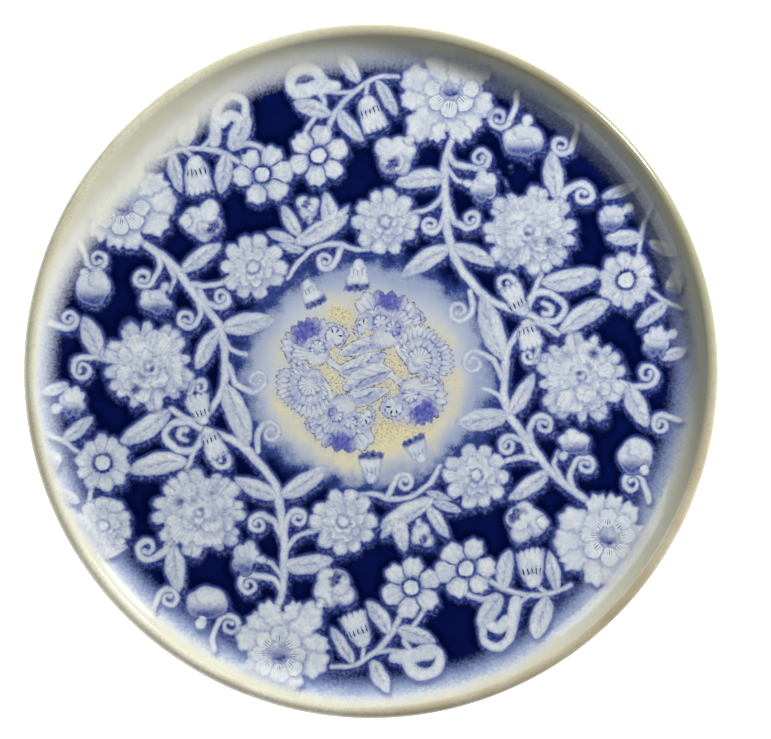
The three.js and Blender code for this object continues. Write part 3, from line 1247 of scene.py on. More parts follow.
@dataclass(frozen=True)
class Section:
    """The plate's section: a flat floor, a swept flank, a rolled lip and a foot ring."""

    rim_radius: float = RIM_RADIUS
    height: float = PLATE_HEIGHT
    foot_height: float = 0.006
    thickness: float = 0.0052
    bead_radius: float = 0.003
    slope: float = math.radians(44)
    foot_outer: float = 0.096
    foot_width: float = 0.006
    foot_splay: float = 0.0012
    foot_ease: float = 0.0008
    foot_fillet: float = 0.0016
    trim: float = 0.00002  # keeps the mesh just inside the solid's box
    underside_ring: float = 0.045  # where the underside's middle faces end

    # How many straight pieces each arc is drawn in
    INNER_STEPS = 5
    OUTER_STEPS = 9
    UNDER_STEPS = 8
    SWEEP_STEPS = 10
    FOOT_STEPS = 4

    @property
    def floor_top(self) -> float:
        """Return the height of the floor's glazed face."""
        return self.foot_height + self.thickness

    @property
    def bead(self) -> Corner:
        """Return the middle of the lip's bead.

        Returns:
            Its radius and height.
        """
        radius = self.rim_radius - self.trim - self.bead_radius
        height = self.height - self.trim - self.bead_radius
        return (radius, height)

    @property
    def joint(self) -> Corner:
        """Return where the flank runs into the bead.

        Returns:
            Its radius and height.
        """
        radius = self.bead[0] - self.bead_radius * math.sin(self.slope)
        height = self.bead[1] + self.bead_radius * math.cos(self.slope)
        return (radius, height)

    @property
    def sweep_radius(self) -> float:
        """Return the radius of the flank's inner sweep."""
        return (self.joint[1] - self.floor_top) / (1 - math.cos(self.slope))

    @property
    def floor_radius(self) -> float:
        """Return where the flat floor ends and the sweep begins."""
        return self.joint[0] - self.sweep_radius * math.sin(self.slope)

    @property
    def face_length(self) -> float:
        """Return the way from the middle of the floor up to the bead, along the face."""
        return self.floor_radius + self.sweep_radius * self.slope

    def face_point(self, way: Floats) -> tuple[Floats, Floats]:
        """Return radius and height at a way along the face from its middle.

        Args:
            way: Distances along the face.

        Returns:
            The radii and the heights.
        """
        angle = np.maximum(way - self.floor_radius, 0) / self.sweep_radius
        radius = np.minimum(way, self.floor_radius) + self.sweep_radius * np.sin(angle)
        return radius, self.floor_top + self.sweep_radius * (1 - np.cos(angle))

    @staticmethod
    def arc(middle: Corner, radius: float, start: float, end: float, steps: int) -> list[Corner]:
        """Return points of an arc.

        Args:
            middle: Its centre.
            radius: Its radius.
            start: Where it starts, in degrees counter-clockwise from outwards.
            end: Where it ends.
            steps: How many straight pieces it is drawn in.

        Returns:
            The points, the start left out.
        """
        turn = [math.radians(start + (end - start) * k / steps) for k in range(1, steps + 1)]
        return [(middle[0] + radius * math.cos(a), middle[1] + radius * math.sin(a)) for a in turn]

    def bead_points(self) -> list[Corner]:
        """Return the section from the joint over the lip and down to the underside.

        Returns:
            Corners as radius and height.
        """
        slope = math.degrees(self.slope)
        sweep = (self.floor_radius, self.floor_top + self.sweep_radius)
        outer = self.sweep_radius + self.thickness
        apart = self.sweep_radius + self.bead_radius
        turn = math.acos((apart ** 2 + outer ** 2 - self.bead_radius ** 2) / (2 * apart * outer))
        end = slope - math.degrees(turn) - 90
        meeting = self.arc(sweep, outer, end, end, 1)[0]
        under = math.degrees(math.atan2(meeting[1] - self.bead[1], meeting[0] - self.bead[0]))
        return [
            self.joint,
            *self.arc(self.bead, self.bead_radius, slope + 90, 90, self.INNER_STEPS),
            *self.arc(self.bead, self.bead_radius, 90, 0, self.OUTER_STEPS),
            *self.arc(self.bead, self.bead_radius, 0, under, self.UNDER_STEPS),
            *self.arc(sweep, outer, end, -90, self.SWEEP_STEPS),
        ]

    def foot_points(self) -> list[Corner]:
        """Return the section from the foot ring's outer root round to its inner root.

        Returns:
            Corners as radius and height.
        """
        root = self.foot_height - self.foot_fillet
        splay = math.degrees(math.atan2(self.foot_splay, root))
        outer = self.foot_outer + self.foot_splay + self.foot_fillet
        inner = self.foot_outer - self.foot_width
        outer_edge = (self.foot_outer - self.foot_ease, self.foot_ease)
        inner_edge = (inner + self.foot_ease, self.foot_ease)
        inner_root = (inner - self.foot_splay - self.foot_fillet, root)
        return [
            (outer, self.foot_height),
            *self.arc((outer, root), self.foot_fillet, 90, 180, self.FOOT_STEPS),
            *self.arc(outer_edge, self.foot_ease, -splay, -90, self.FOOT_STEPS),
            *self.arc(inner_edge, self.foot_ease, -90, -180 + splay, self.FOOT_STEPS),
            *self.arc(inner_root, self.foot_fillet, 0, 90, self.FOOT_STEPS),
        ]


def placed_object(name: str, bm: bmesh.types.BMesh) -> bpy.types.Object:
    """Make an object of a mesh in the making, and put it in the scene.

    Args:
        name: The object's name.
        bm: The mesh in the making.

    Returns:
        The object.
    """
    mesh = bpy.data.meshes.new(name)
    bm.to_mesh(mesh)
    bm.free()
    made = bpy.data.objects.new(name, mesh)
    bpy.context.scene.collection.objects.link(made)
    return made


@dataclass
class PlateBody:
    """The plate: its printed face, lip, flank, underside and pierced foot ring, in one skin."""

    section: Section = field(default_factory=Section)
    rings: int = 128  # of triangles from the middle of the face to the lip
    round_steps: int = 256  # about the lip and the back
    spare_edges: tuple[int, ...] = (23000, 14000)  # how many edges each refining splits
    hole_radius: float = 0.0012
    hole_spread: float = math.radians(36)
    print_limit: float = 326.0  # sheet units; past it the face carries no drawing

    # How much a bend of each part of the drawing counts when edges are chosen to be split
    BORDER_WORTH = 1.0
    CENTRE_WORTH = 0.8
    ROW_WORTH = 0.45
    WASH_WORTH = 1.6
    SHADE_WORTH = 1.3
    LEAST_WORTH = 0.05
    OUTLINE_BAND = 4.0  # sheet units from an outline, where its bends count
    ROW_BAND = 3.0
    ENGRAVED = ("white", "bloom", "figure", *Marks.TONES)  # written on the vertices
    DRILL_SIDES = 20
    DRILL_LENGTH = 2.6  # over the foot ring's width
    MERGE = 2e-6  # metres between vertices of the face and the back that are one
    MOST_BEND = 1.5  # of a row, in sheet units

    def sheet_points(self, flat: Floats) -> Floats:
        """Return the places on the sheet of points of the flattened face.

        Args:
            flat: Points with their way along the face as the distance from the middle.

        Returns:
            The places on the sheet.
        """
        way = np.hypot(flat[:, 0], flat[:, 1])
        radius, _ = self.section.face_point(way)
        scale = radius / np.maximum(way, AT_MIDDLE) / UNIT
        return SHEET_CENTRE + scale * (flat[:, 0] - 1j * flat[:, 1])

    @staticmethod
    def coordinates(bm: bmesh.types.BMesh) -> Floats:
        """Return the places of a mesh's vertices."""
        return np.array([v.co[:] for v in bm.verts])

    def flat_lattice(self) -> bmesh.types.BMesh:
        """Make the flattened face: rings of even triangles about its middle.

        Returns:
            The mesh in the making.
        """
        bm = bmesh.new()
        bmesh.ops.create_circle(bm, cap_ends=True, cap_tris=True, segments=6, radius=1.0)
        bmesh.ops.subdivide_edges(bm, edges=bm.edges[:], cuts=self.rings - 1, use_grid_fill=True)
        bmesh.ops.triangulate(bm, faces=bm.faces[:])
        sixth = math.pi / 3
        first = math.pi / 2  # where create_circle puts its first corner
        for v in bm.verts:
            angle = math.atan2(v.co.y, v.co.x)
            sextant = math.floor((angle - first) / sixth)
            low = angle - first - sextant * sixth
            reach = math.hypot(v.co.x, v.co.y)
            far = reach * math.sin(low) / math.sin(sixth)
            near = reach * math.sin(sixth - low) / math.sin(sixth)
            ring = far + near
            turned = first + (sextant + (far / ring if ring > AT_MIDDLE else 0)) * sixth
            v.co = Vector((math.cos(turned), math.sin(turned), 0)) * ring * self.section.face_length
        return bm

    def worth(self, drawing: Print, ends_at: Floats, middle_at: Floats, ends: Floats) -> Floats:
        """Work out how far the drawing bends between the ends of each edge.

        Args:
            drawing: The print.
            ends_at: The vertices' places on the sheet.
            middle_at: The edges' middles there.
            ends: The indices of each edge's two vertices.

        Returns:
            What each edge's splitting is worth.
        """
        def bent(at_ends: Floats, at_middle: Floats) -> Floats:
            """Return how far a value at the edges' middles is off the mean of their ends."""
            return np.abs(at_middle - (at_ends[ends[:, 0]] + at_ends[ends[:, 1]]) / 2)

        error = np.zeros(len(ends))
        for layout, weight in (
            (drawing.border, self.BORDER_WORTH),
            (drawing.centre, self.CENTRE_WORTH),
        ):
            near = drawing.outline(middle_at, layout)
            bend = bent(drawing.outline(ends_at, layout), near)
            error = np.maximum(error, weight * bend * (np.abs(near) < self.OUTLINE_BAND))
        at_ends = drawing.draw(ends_at)
        at_middle = drawing.draw(middle_at)
        shown = np.maximum(at_middle.white, at_middle.figure) > 0
        for k in range(ROW_COUNT):
            row = at_middle.rows[:, k]
            bend = np.minimum(bent(at_ends.rows[:, k], row), self.MOST_BEND)
            error = np.maximum(error, self.ROW_WORTH * bend * shown * (np.abs(row) < self.ROW_BAND))
        error = np.maximum(error, self.WASH_WORTH * bent(at_ends.wash, at_middle.wash) * shown)
        error = np.maximum(error, self.SHADE_WORTH * bent(at_ends.shade, at_middle.shade) * shown)
        error[np.abs(middle_at - SHEET_CENTRE) > self.print_limit] = 0
        return error

    def refine(self, bm: bmesh.types.BMesh, drawing: Print) -> None:
        """Split the edges between whose ends the print's outlines bend the most."""
        for budget in self.spare_edges:
            bm.edges.ensure_lookup_table()
            bm.verts.index_update()
            ends = np.array([(e.verts[0].index, e.verts[1].index) for e in bm.edges])
            flat = self.coordinates(bm)
            middle = self.sheet_points((flat[ends[:, 0]] + flat[ends[:, 1]]) / 2)
            error = self.worth(drawing, self.sheet_points(flat), middle, ends)
            chosen = np.argsort(error)[-budget:]
            chosen = chosen[error[chosen] > self.LEAST_WORTH]
            edges = [bm.edges[int(i)] for i in chosen]
            bmesh.ops.subdivide_edges(bm, edges=edges, cuts=1)
            bmesh.ops.triangulate(bm, faces=[f for f in bm.faces if len(f.verts) > 3])
            log.info("face refined to %d triangles", len(bm.faces))

    def raise_face(self, bm: bmesh.types.BMesh) -> None:
        """Bring the flattened face to its true section."""
        for v in bm.verts:
            way = math.hypot(v.co.x, v.co.y)
            radius, height = self.section.face_point(np.array([way]))
            scale = radius[0] / way if way > AT_MIDDLE else 0.0
            v.co = Vector((v.co.x * scale, v.co.y * scale, height[0]))

    def turned_back(self) -> bmesh.types.BMesh:
        """Turn the lip, the flank's outside, the underside and the foot ring.

        Returns:
            The mesh in the making.
        """
        section = self.section
        bead = section.bead_points()
        foot = section.foot_points()
        middle = (foot[0][0] + bead[-1][0]) / 2
        under = [(radius, section.foot_height) for radius in (section.underside_ring, 0.0)]
        points = [*bead, (middle, section.foot_height), *foot, *under]
        bm = bmesh.new()
        verts = [bm.verts.new((radius, 0, height)) for radius, height in points]
        edges = [bm.edges.new(pair) for pair in zip(verts, verts[1:])]
        bmesh.ops.spin(bm, geom=[*verts, *edges], cent=(0, 0, 0), axis=(0, 0, 1), angle=2 * math.pi,
                       steps=self.round_steps, use_merge=True)
        bmesh.ops.remove_doubles(bm, verts=bm.verts[:], dist=TINY)
        border = [e for e in bm.edges if e.is_boundary]
        share = 6 * self.rings // self.round_steps
        bmesh.ops.subdivide_edges(bm, edges=border, cuts=share - 1)
        radius = section.joint[0]
        for v in bm.verts:
            if v.is_boundary:
                flat = math.hypot(v.co.x, v.co.y)
                v.co.x *= radius / flat
                v.co.y *= radius / flat
        return bm

    def drills(self) -> bpy.types.Object:
        """Make the two drills for the wire holes, lying through the foot ring.

        Returns:
            The object of both drills.
        """
        section = self.section
        up, ahead = Vector((0, 0, 1)), Vector((0, 1, 0))
        place = ahead * (section.foot_outer - section.foot_width / 2) + up * section.foot_height / 2
        bm = bmesh.new()
        for side in (-1, 1):
            bearing = side * self.hole_spread / 2
            outwards = Vector((math.sin(bearing), math.cos(bearing), 0))
            verts = bmesh.ops.create_cone(
                bm, cap_ends=True, segments=self.DRILL_SIDES, radius1=self.hole_radius,
                radius2=self.hole_radius, depth=section.foot_width * self.DRILL_LENGTH)["verts"]
            laid = up.rotation_difference(ahead).to_matrix()
            bmesh.ops.rotate(bm, verts=verts, cent=(0, 0, 0), matrix=laid)
            bmesh.ops.translate(bm, verts=verts, vec=place)
            turned = ahead.rotation_difference(outwards).to_matrix()
            bmesh.ops.rotate(bm, verts=verts, cent=(0, 0, 0), matrix=turned)
        return placed_object("drills", bm)

    def pierce(self, piece: bpy.types.Object) -> None:
        """Drill the two wire holes through the foot ring.

        Args:
            piece: The plate.
        """
        drills = self.drills()
        cut = piece.modifiers.new("wire holes", "BOOLEAN")
        cut.operation = "DIFFERENCE"
        cut.solver = "EXACT"
        cut.object = drills
        bpy.context.view_layer.update()
        pierced = piece.evaluated_get(bpy.context.evaluated_depsgraph_get())
        done = bpy.data.meshes.new_from_object(pierced)
        piece.modifiers.remove(cut)
        piece.data = done
        bpy.data.objects.remove(drills)

    def build(self, drawing: Print) -> bpy.types.Object:
        """Make the plate's mesh, with the print's distances on its vertices.

        Args:
            drawing: The print.

        Returns:
            The finished piece, without its glaze.
        """
        back = self.turned_back()
        bmesh.ops.triangulate(back, faces=[f for f in back.faces if len(f.verts) > 4])
        back_mesh = bpy.data.meshes.new("plate_back")
        back.to_mesh(back_mesh)
        back.free()
        bm = self.flat_lattice()
        self.refine(bm, drawing)
        self.raise_face(bm)
        bm.from_mesh(back_mesh)
        bpy.data.meshes.remove(back_mesh)
        bmesh.ops.remove_doubles(bm, verts=bm.verts[:], dist=self.MERGE)
        bmesh.ops.recalc_face_normals(bm, faces=bm.faces[:])
        bmesh.ops.triangulate(bm, faces=bm.faces[:])
        for face in bm.faces:
            face.smooth = True
        piece = placed_object("printed_plate", bm)
        self.pierce(piece)
        self.engrave(piece.data, drawing)
        return piece

    def engrave(self, mesh: bpy.types.Mesh, drawing: Print) -> None:
        """Write the print's distances on the vertices of the face.

        Args:
            mesh: The plate's mesh.
            drawing: The print.
        """
        count = len(mesh.vertices)
        places = np.empty(count * 3)
        mesh.vertices.foreach_get("co", places)
        places = places.reshape(-1, 3)
        z = SHEET_CENTRE + (places[:, 0] - 1j * places[:, 1]) / UNIT
        drawn = drawing.draw(z)
        layers = {name: getattr(drawn, name) for name in self.ENGRAVED}
        layers["cast"] = drawing.outline(z - Print.SHADOW, drawing.border)
        for name, values in layers.items():
            layer = mesh.attributes.new(name, "FLOAT", "POINT")
            layer.data.foreach_set("value", values.astype(np.float32))
        layer = mesh.attributes.new("rows", "FLOAT_VECTOR", "POINT")
        layer.data.foreach_set("vector", drawn.rows.astype(np.float32).ravel())


# Shader maths


class Value:
    """A shader socket's value, whose sums add Math nodes."""

    def __init__(self, graph: "Graph", socket: bpy.types.NodeSocket) -> None:
        """Wrap an output socket of a graph."""
        self.graph = graph
        self.socket = socket

    def _sum(self, operation: str, *others: "Number", clamp: bool = False) -> "Value":
        """Add a Math node on this value and others."""
        settings = {"operation": operation, "use_clamp": clamp}
        return self.graph.node("ShaderNodeMath", settings, {0: self, **dict(enumerate(others, 1))})

    def __add__(self, other: "Number") -> "Value":
        """Return the sum."""
        return self._sum("ADD", other)

    __radd__ = __add__

    def __mul__(self, other: "Number") -> "Value":
        """Return the product."""
        return self._sum("MULTIPLY", other)

    __rmul__ = __mul__

    def __sub__(self, other: "Number") -> "Value":
        """Return the difference."""
        return self._sum("SUBTRACT", other)

    def __rsub__(self, other: "Number") -> "Value":
        """Return the difference from a number."""
        return self.graph.node("ShaderNodeMath", {"operation": "SUBTRACT"}, {0: other, 1: self})

    def __truediv__(self, other: "Number") -> "Value":
        """Return the quotient."""
        return self._sum("DIVIDE", other)

    def absolute(self) -> "Value":
        """Return the value without its sign."""
        return self._sum("ABSOLUTE")

    def fraction(self) -> "Value":
        """Return what is left past the whole number."""
        return self._sum("FRACT")

    def power(self, exponent: float) -> "Value":
        """Return the value raised to a power."""
        return self._sum("POWER", exponent)

    def highest(self, other: "Number") -> "Value":
        """Return the larger of two values."""
        return self._sum("MAXIMUM", other)

    def lowest(self, other: "Number") -> "Value":
        """Return the smaller of two values."""
        return self._sum("MINIMUM", other)

    def clamped(self) -> "Value":
        """Return the value kept between 0 and 1."""
        return self._sum("ADD", 0.0, clamp=True)

    def rise(self, low: float, high: float) -> "Value":
        """Return 0 at low and 1 at high, with a smooth step between; low may be the larger.

        Args:
            low: Where it starts.
            high: Where it ends.

        Returns:
            The share.
        """
        settings = {"interpolation_type": "SMOOTHSTEP"}
        if low > high:
            return 1 - self.rise(high, low)
        ends = {"Value": self, "From Min": low, "From Max": high}
        return self.graph.node("ShaderNodeMapRange", settings, ends)


Number = Union[Value, float]
Tint = Union[Value, Colour]


class Graph:
    """The nodes of one material or world."""

    def __init__(self, tree: bpy.types.NodeTree) -> None:
        """Empty a node tree and draw in it."""
        self.tree = tree
        tree.nodes.clear()

    def node(self, kind: str, settings: dict[str, Any], sockets: dict[Any, Any],
             output: Any = 0) -> Value:
        """Add a node.

        Args:
            kind: The node's type.
            settings: Its properties, set first.
            sockets: Values or links for its inputs, by name or place.
            output: Which output to return.

        Returns:
            The chosen output.
        """
        made = self.tree.nodes.new(kind)
        for name, setting in settings.items():
            setattr(made, name, setting)
        for key, given in sockets.items():
            socket = made.inputs[key]
            if isinstance(given, Value):
                self.tree.links.new(given.socket, socket)
            elif isinstance(given, tuple) and socket.type == "RGBA":
                socket.default_value = (*given, 1.0)
            else:
                socket.default_value = given
        return Value(self, made.outputs[output])

    def attribute(self, name: str, output: str = "Fac") -> Value:
        """Return a value that the mesh carries."""
        return self.node("ShaderNodeAttribute", {"attribute_name": name}, {}, output)

    def parts(self, vector: Value) -> tuple[Value, Value, Value]:
        """Return a vector's three values.

        Args:
            vector: The vector.

        Returns:
            Its x, y and z.
        """
        split = self.node("ShaderNodeSeparateXYZ", {}, {0: vector})
        outputs = split.socket.node.outputs
        return Value(self, outputs[0]), Value(self, outputs[1]), Value(self, outputs[2])

    def vector(self, x: Number, y: Number, z: Number) -> Value:
        """Return a vector of three values."""
        return self.node("ShaderNodeCombineXYZ", {}, {0: x, 1: y, 2: z})

    def length(self, vector: Value) -> Value:
        """Return a vector's length."""
        return self.node("ShaderNodeVectorMath", {"operation": "LENGTH"}, {0: vector}, 1)

    def noise(self, place: Value, scale: float, detail: float = 2.0, rough: float = 0.5) -> Value:
        """Return noise from 0 to 1 about one half."""
        return self.node("ShaderNodeTexNoise", {}, {
            "Vector": place, "Scale": scale, "Detail": detail, "Roughness": rough})

    def mix(self, factor: Number, first: Tint, second: Tint) -> Value:
        """Return a colour between two, the first at 0 and the second at 1."""
        settings = {"data_type": "RGBA", "clamp_factor": True}
        return self.node("ShaderNodeMix", settings, {0: factor, 6: first, 7: second}, 2)

    def through(self, factor: Value, first: Tint, middle: Tint, last: Tint) -> Value:
        """Return a colour that passes from the first through the middle to the last."""
        return self.mix(factor * 2.0 - 1.0, self.mix(factor * 2.0, first, middle), last)

    def finish(self, shader: Value, output: str = "ShaderNodeOutputMaterial") -> None:
        """Link a shader to the output of the material or world."""
        made = self.tree.nodes.new(output)
        self.tree.links.new(shader.socket, made.inputs["Surface"])


# The finishes


@dataclass(frozen=True)
class PrintInks:
    """The colours of the print, the clay and its glaze, and of the painted shade and light on the
    flank and lip.
    """

    navy: Colour = from_srgb(1, 10, 54)
    cobalt: Colour = from_srgb(7, 20, 80)
    violet: Colour = from_srgb(80, 96, 172)
    shadow: Colour = from_srgb(46, 62, 142)
    middle: Colour = from_srgb(58, 76, 144)
    petal: Colour = from_srgb(236, 241, 243)
    petal_shade: Colour = from_srgb(188, 200, 219)
    fold: Colour = from_srgb(120, 138, 188)
    line: Colour = from_srgb(92, 108, 166)
    dark_line: Colour = from_srgb(14, 22, 92)
    pool: Colour = from_srgb(30, 48, 138)
    wash: Colour = from_srgb(66, 72, 176)
    figure_fold: Colour = from_srgb(126, 134, 202)
    soft_rim: Colour = from_srgb(150, 165, 204)
    grey: Colour = from_srgb(200, 204, 206)
    haze: Colour = from_srgb(214, 220, 226)
    # partly the flank's creamy glaze, partly painted light
    cream_and_painted_light: Colour = from_srgb(250, 247, 226)
    # painted shade for the upper-right flank, where the lip shades it
    painted_flank_shade: Colour = from_srgb(84, 86, 62)
    figure_line: Colour = from_srgb(74, 82, 168)
    pale: Colour = from_srgb(158, 173, 206)
    cream: Colour = from_srgb(238, 230, 188)
    brown: Colour = from_srgb(134, 104, 64)
    white_glaze: Colour = from_srgb(228, 230, 226)
    stained: Colour = from_srgb(208, 205, 166)
    lip_cream: Colour = from_srgb(230, 228, 200)
    # painted light for the lip's lower side
    lip_painted_light: Colour = from_srgb(255, 253, 232)
    # painted shade for the lip's upper-right side
    lip_painted_shade: Colour = from_srgb(140, 139, 114)
    toasted: Colour = from_srgb(182, 164, 128)
    biscuit: Colour = from_srgb(200, 186, 156)


@dataclass(frozen=True)
class Side:
    """A side of the plate where something differs, and falls away on each hand."""

    bearing: float  # degrees clockwise from the right
    narrow: float  # how quickly it falls away
    amount: float = 1.0


class GlazeGraph(Graph):
    """A glaze's nodes, with what its layers share: places, grains, and the print's distances."""

    # Noises, in cells to a metre
    FINE_SCALE = 3600.0
    GRAIN_SCALE = 1900.0
    COARSE_SCALE = 620.0
    CLOUD_SCALE = 150.0
    DRIFT_SCALE = 34.0
    # Noises about the plate's middle, drawn out along its rays
    HATCH_SCALE = 110.0
    SWAY_SCALE = 1.6
    RAY_PITCH = 0.003  # how quickly they change along a ray

    # The print fades between these distances from the middle, in sheet units
    FADE = (303.0, 327.0)
    FADE_OUTER = (321.0, 336.0)
    WASHED = (  # the sides where it fades further in, by sheet units
        Side(225.0, 9.0, 21.0),
        Side(40.0, 5.0, 14.0),
        Side(272.0, 14.0, 8.0),
        Side(135.0, 5.0, 11.0),
        Side(318.0, 6.0, 4.0),
        Side(2.0, 6.0, 8.0),
        Side(178.0, 6.0, -7.0),
    )
    ALL_ROUND = 3.0  # and further out by this on all sides

    def __init__(self, tree: bpy.types.NodeTree) -> None:
        """Empty a node tree and draw what the layers share in it.

        Args:
            tree: The node tree.
        """
        super().__init__(tree)
        place = self.node("ShaderNodeTexCoord", {}, {}, "Object")
        x, y, self.height = self.parts(place)
        self.across = x / UNIT
        self.up = y / UNIT
        self.radius = self.length(self.vector(self.across, self.up, 0.0))

        self.fine_grain = self.noise(place, self.FINE_SCALE, 1.0, 0.5)
        self.grain = self.noise(place, self.GRAIN_SCALE, 2.0, 0.6)
        self.coarse = self.noise(place, self.COARSE_SCALE, 2.0, 0.5)
        self.cloud = self.noise(place, self.CLOUD_SCALE, 3.0, 0.5)
        self.drift = self.noise(place, self.DRIFT_SCALE, 2.0, 0.5)
        pitch = self.radius * self.RAY_PITCH
        ray = self.vector(self.across / self.radius, self.up / self.radius, pitch)
        self.hatch = self.noise(ray, self.HATCH_SCALE, 1.0, 0.5)
        self.sway = self.noise(ray, self.SWAY_SCALE, 1.0, 0.5)

        self.white = self.attribute("white")
        self.cast = self.attribute("cast")
        self.figure = self.attribute("figure")
        self.inner = self.white + (self.grain - 0.5) * 2.2 + (self.coarse - 0.5) * 1.2
        self.washed = sum(self.towards(side) * side.amount for side in self.WASHED) - self.ALL_ROUND
        ragged = self.radius + (self.hatch - 0.5) * 10.0 + (self.sway - 0.5) * 14.0
        self.depth = ragged + self.washed
        self.faded = self.depth.rise(*self.FADE)
        self.outer = self.depth.rise(*self.FADE_OUTER)

    def towards(self, side: Side) -> Value:
        """Return 1 in a side's direction from the plate's middle, falling to 0 beside it.

        Args:
            side: The side.

        Returns:
            The share.
        """
        turn = math.radians(-side.bearing)
        facing = (self.across * math.cos(turn) + self.up * math.sin(turn)) / self.radius
        return facing.highest(0.0).power(side.narrow)

    def from_pivot(self, right: float, above: float, stretch: float) -> Value:
        """Return the distance from a place near the print's pivot, in sheet units.

        Args:
            right: How far to the pivot's right the place lies.
            above: How far above it.
            stretch: What the way across counts for, against the way up.

        Returns:
            The distance.
        """
        pivot = PRINT_PIVOT - SHEET_CENTRE
        aside = (self.across - pivot.real - right) * stretch
        over = self.up + pivot.imag - above
        return self.length(self.vector(aside, over, 0.0))


class PetalTones:
    """The folds, lines and washes that the engraver drew inside the motifs."""

    def __init__(self, g: GlazeGraph) -> None:
        """Draw them among a glaze's nodes.

        Args:
            g: The glaze's nodes.
        """
        ink = g.attribute("ink")
        wash = g.attribute("wash")
        shade = g.attribute("shade")
        self.mottle = (g.cloud - 0.5) * 1.3 + (g.coarse - 0.45)
        self.lines: Number = 0.0
        for row in g.parts(g.attribute("rows", "Vector")):
            edge = (row + (g.coarse - 0.5) * 1.6).absolute().rise(1.5, 0.2)
            self.lines = edge.highest(self.lines)
        self.lines = self.lines * g.coarse.rise(0.34, 0.60)
        self.folded = (shade * (0.55 + g.coarse * 0.9) + (g.grain - 0.5) * 0.5 * shade).clamped()
        self.pooled = (wash * (0.5 + g.coarse) + (g.grain - 0.5) * 0.5 * wash).clamped()
        strand = (g.attribute("phase").fraction() - 0.5).absolute().rise(0.28, 0.42)
        self.fine = strand * ink * g.grain.rise(0.28, 0.46)
        self.bold = (self.fine - 0.62).clamped() * 2.2


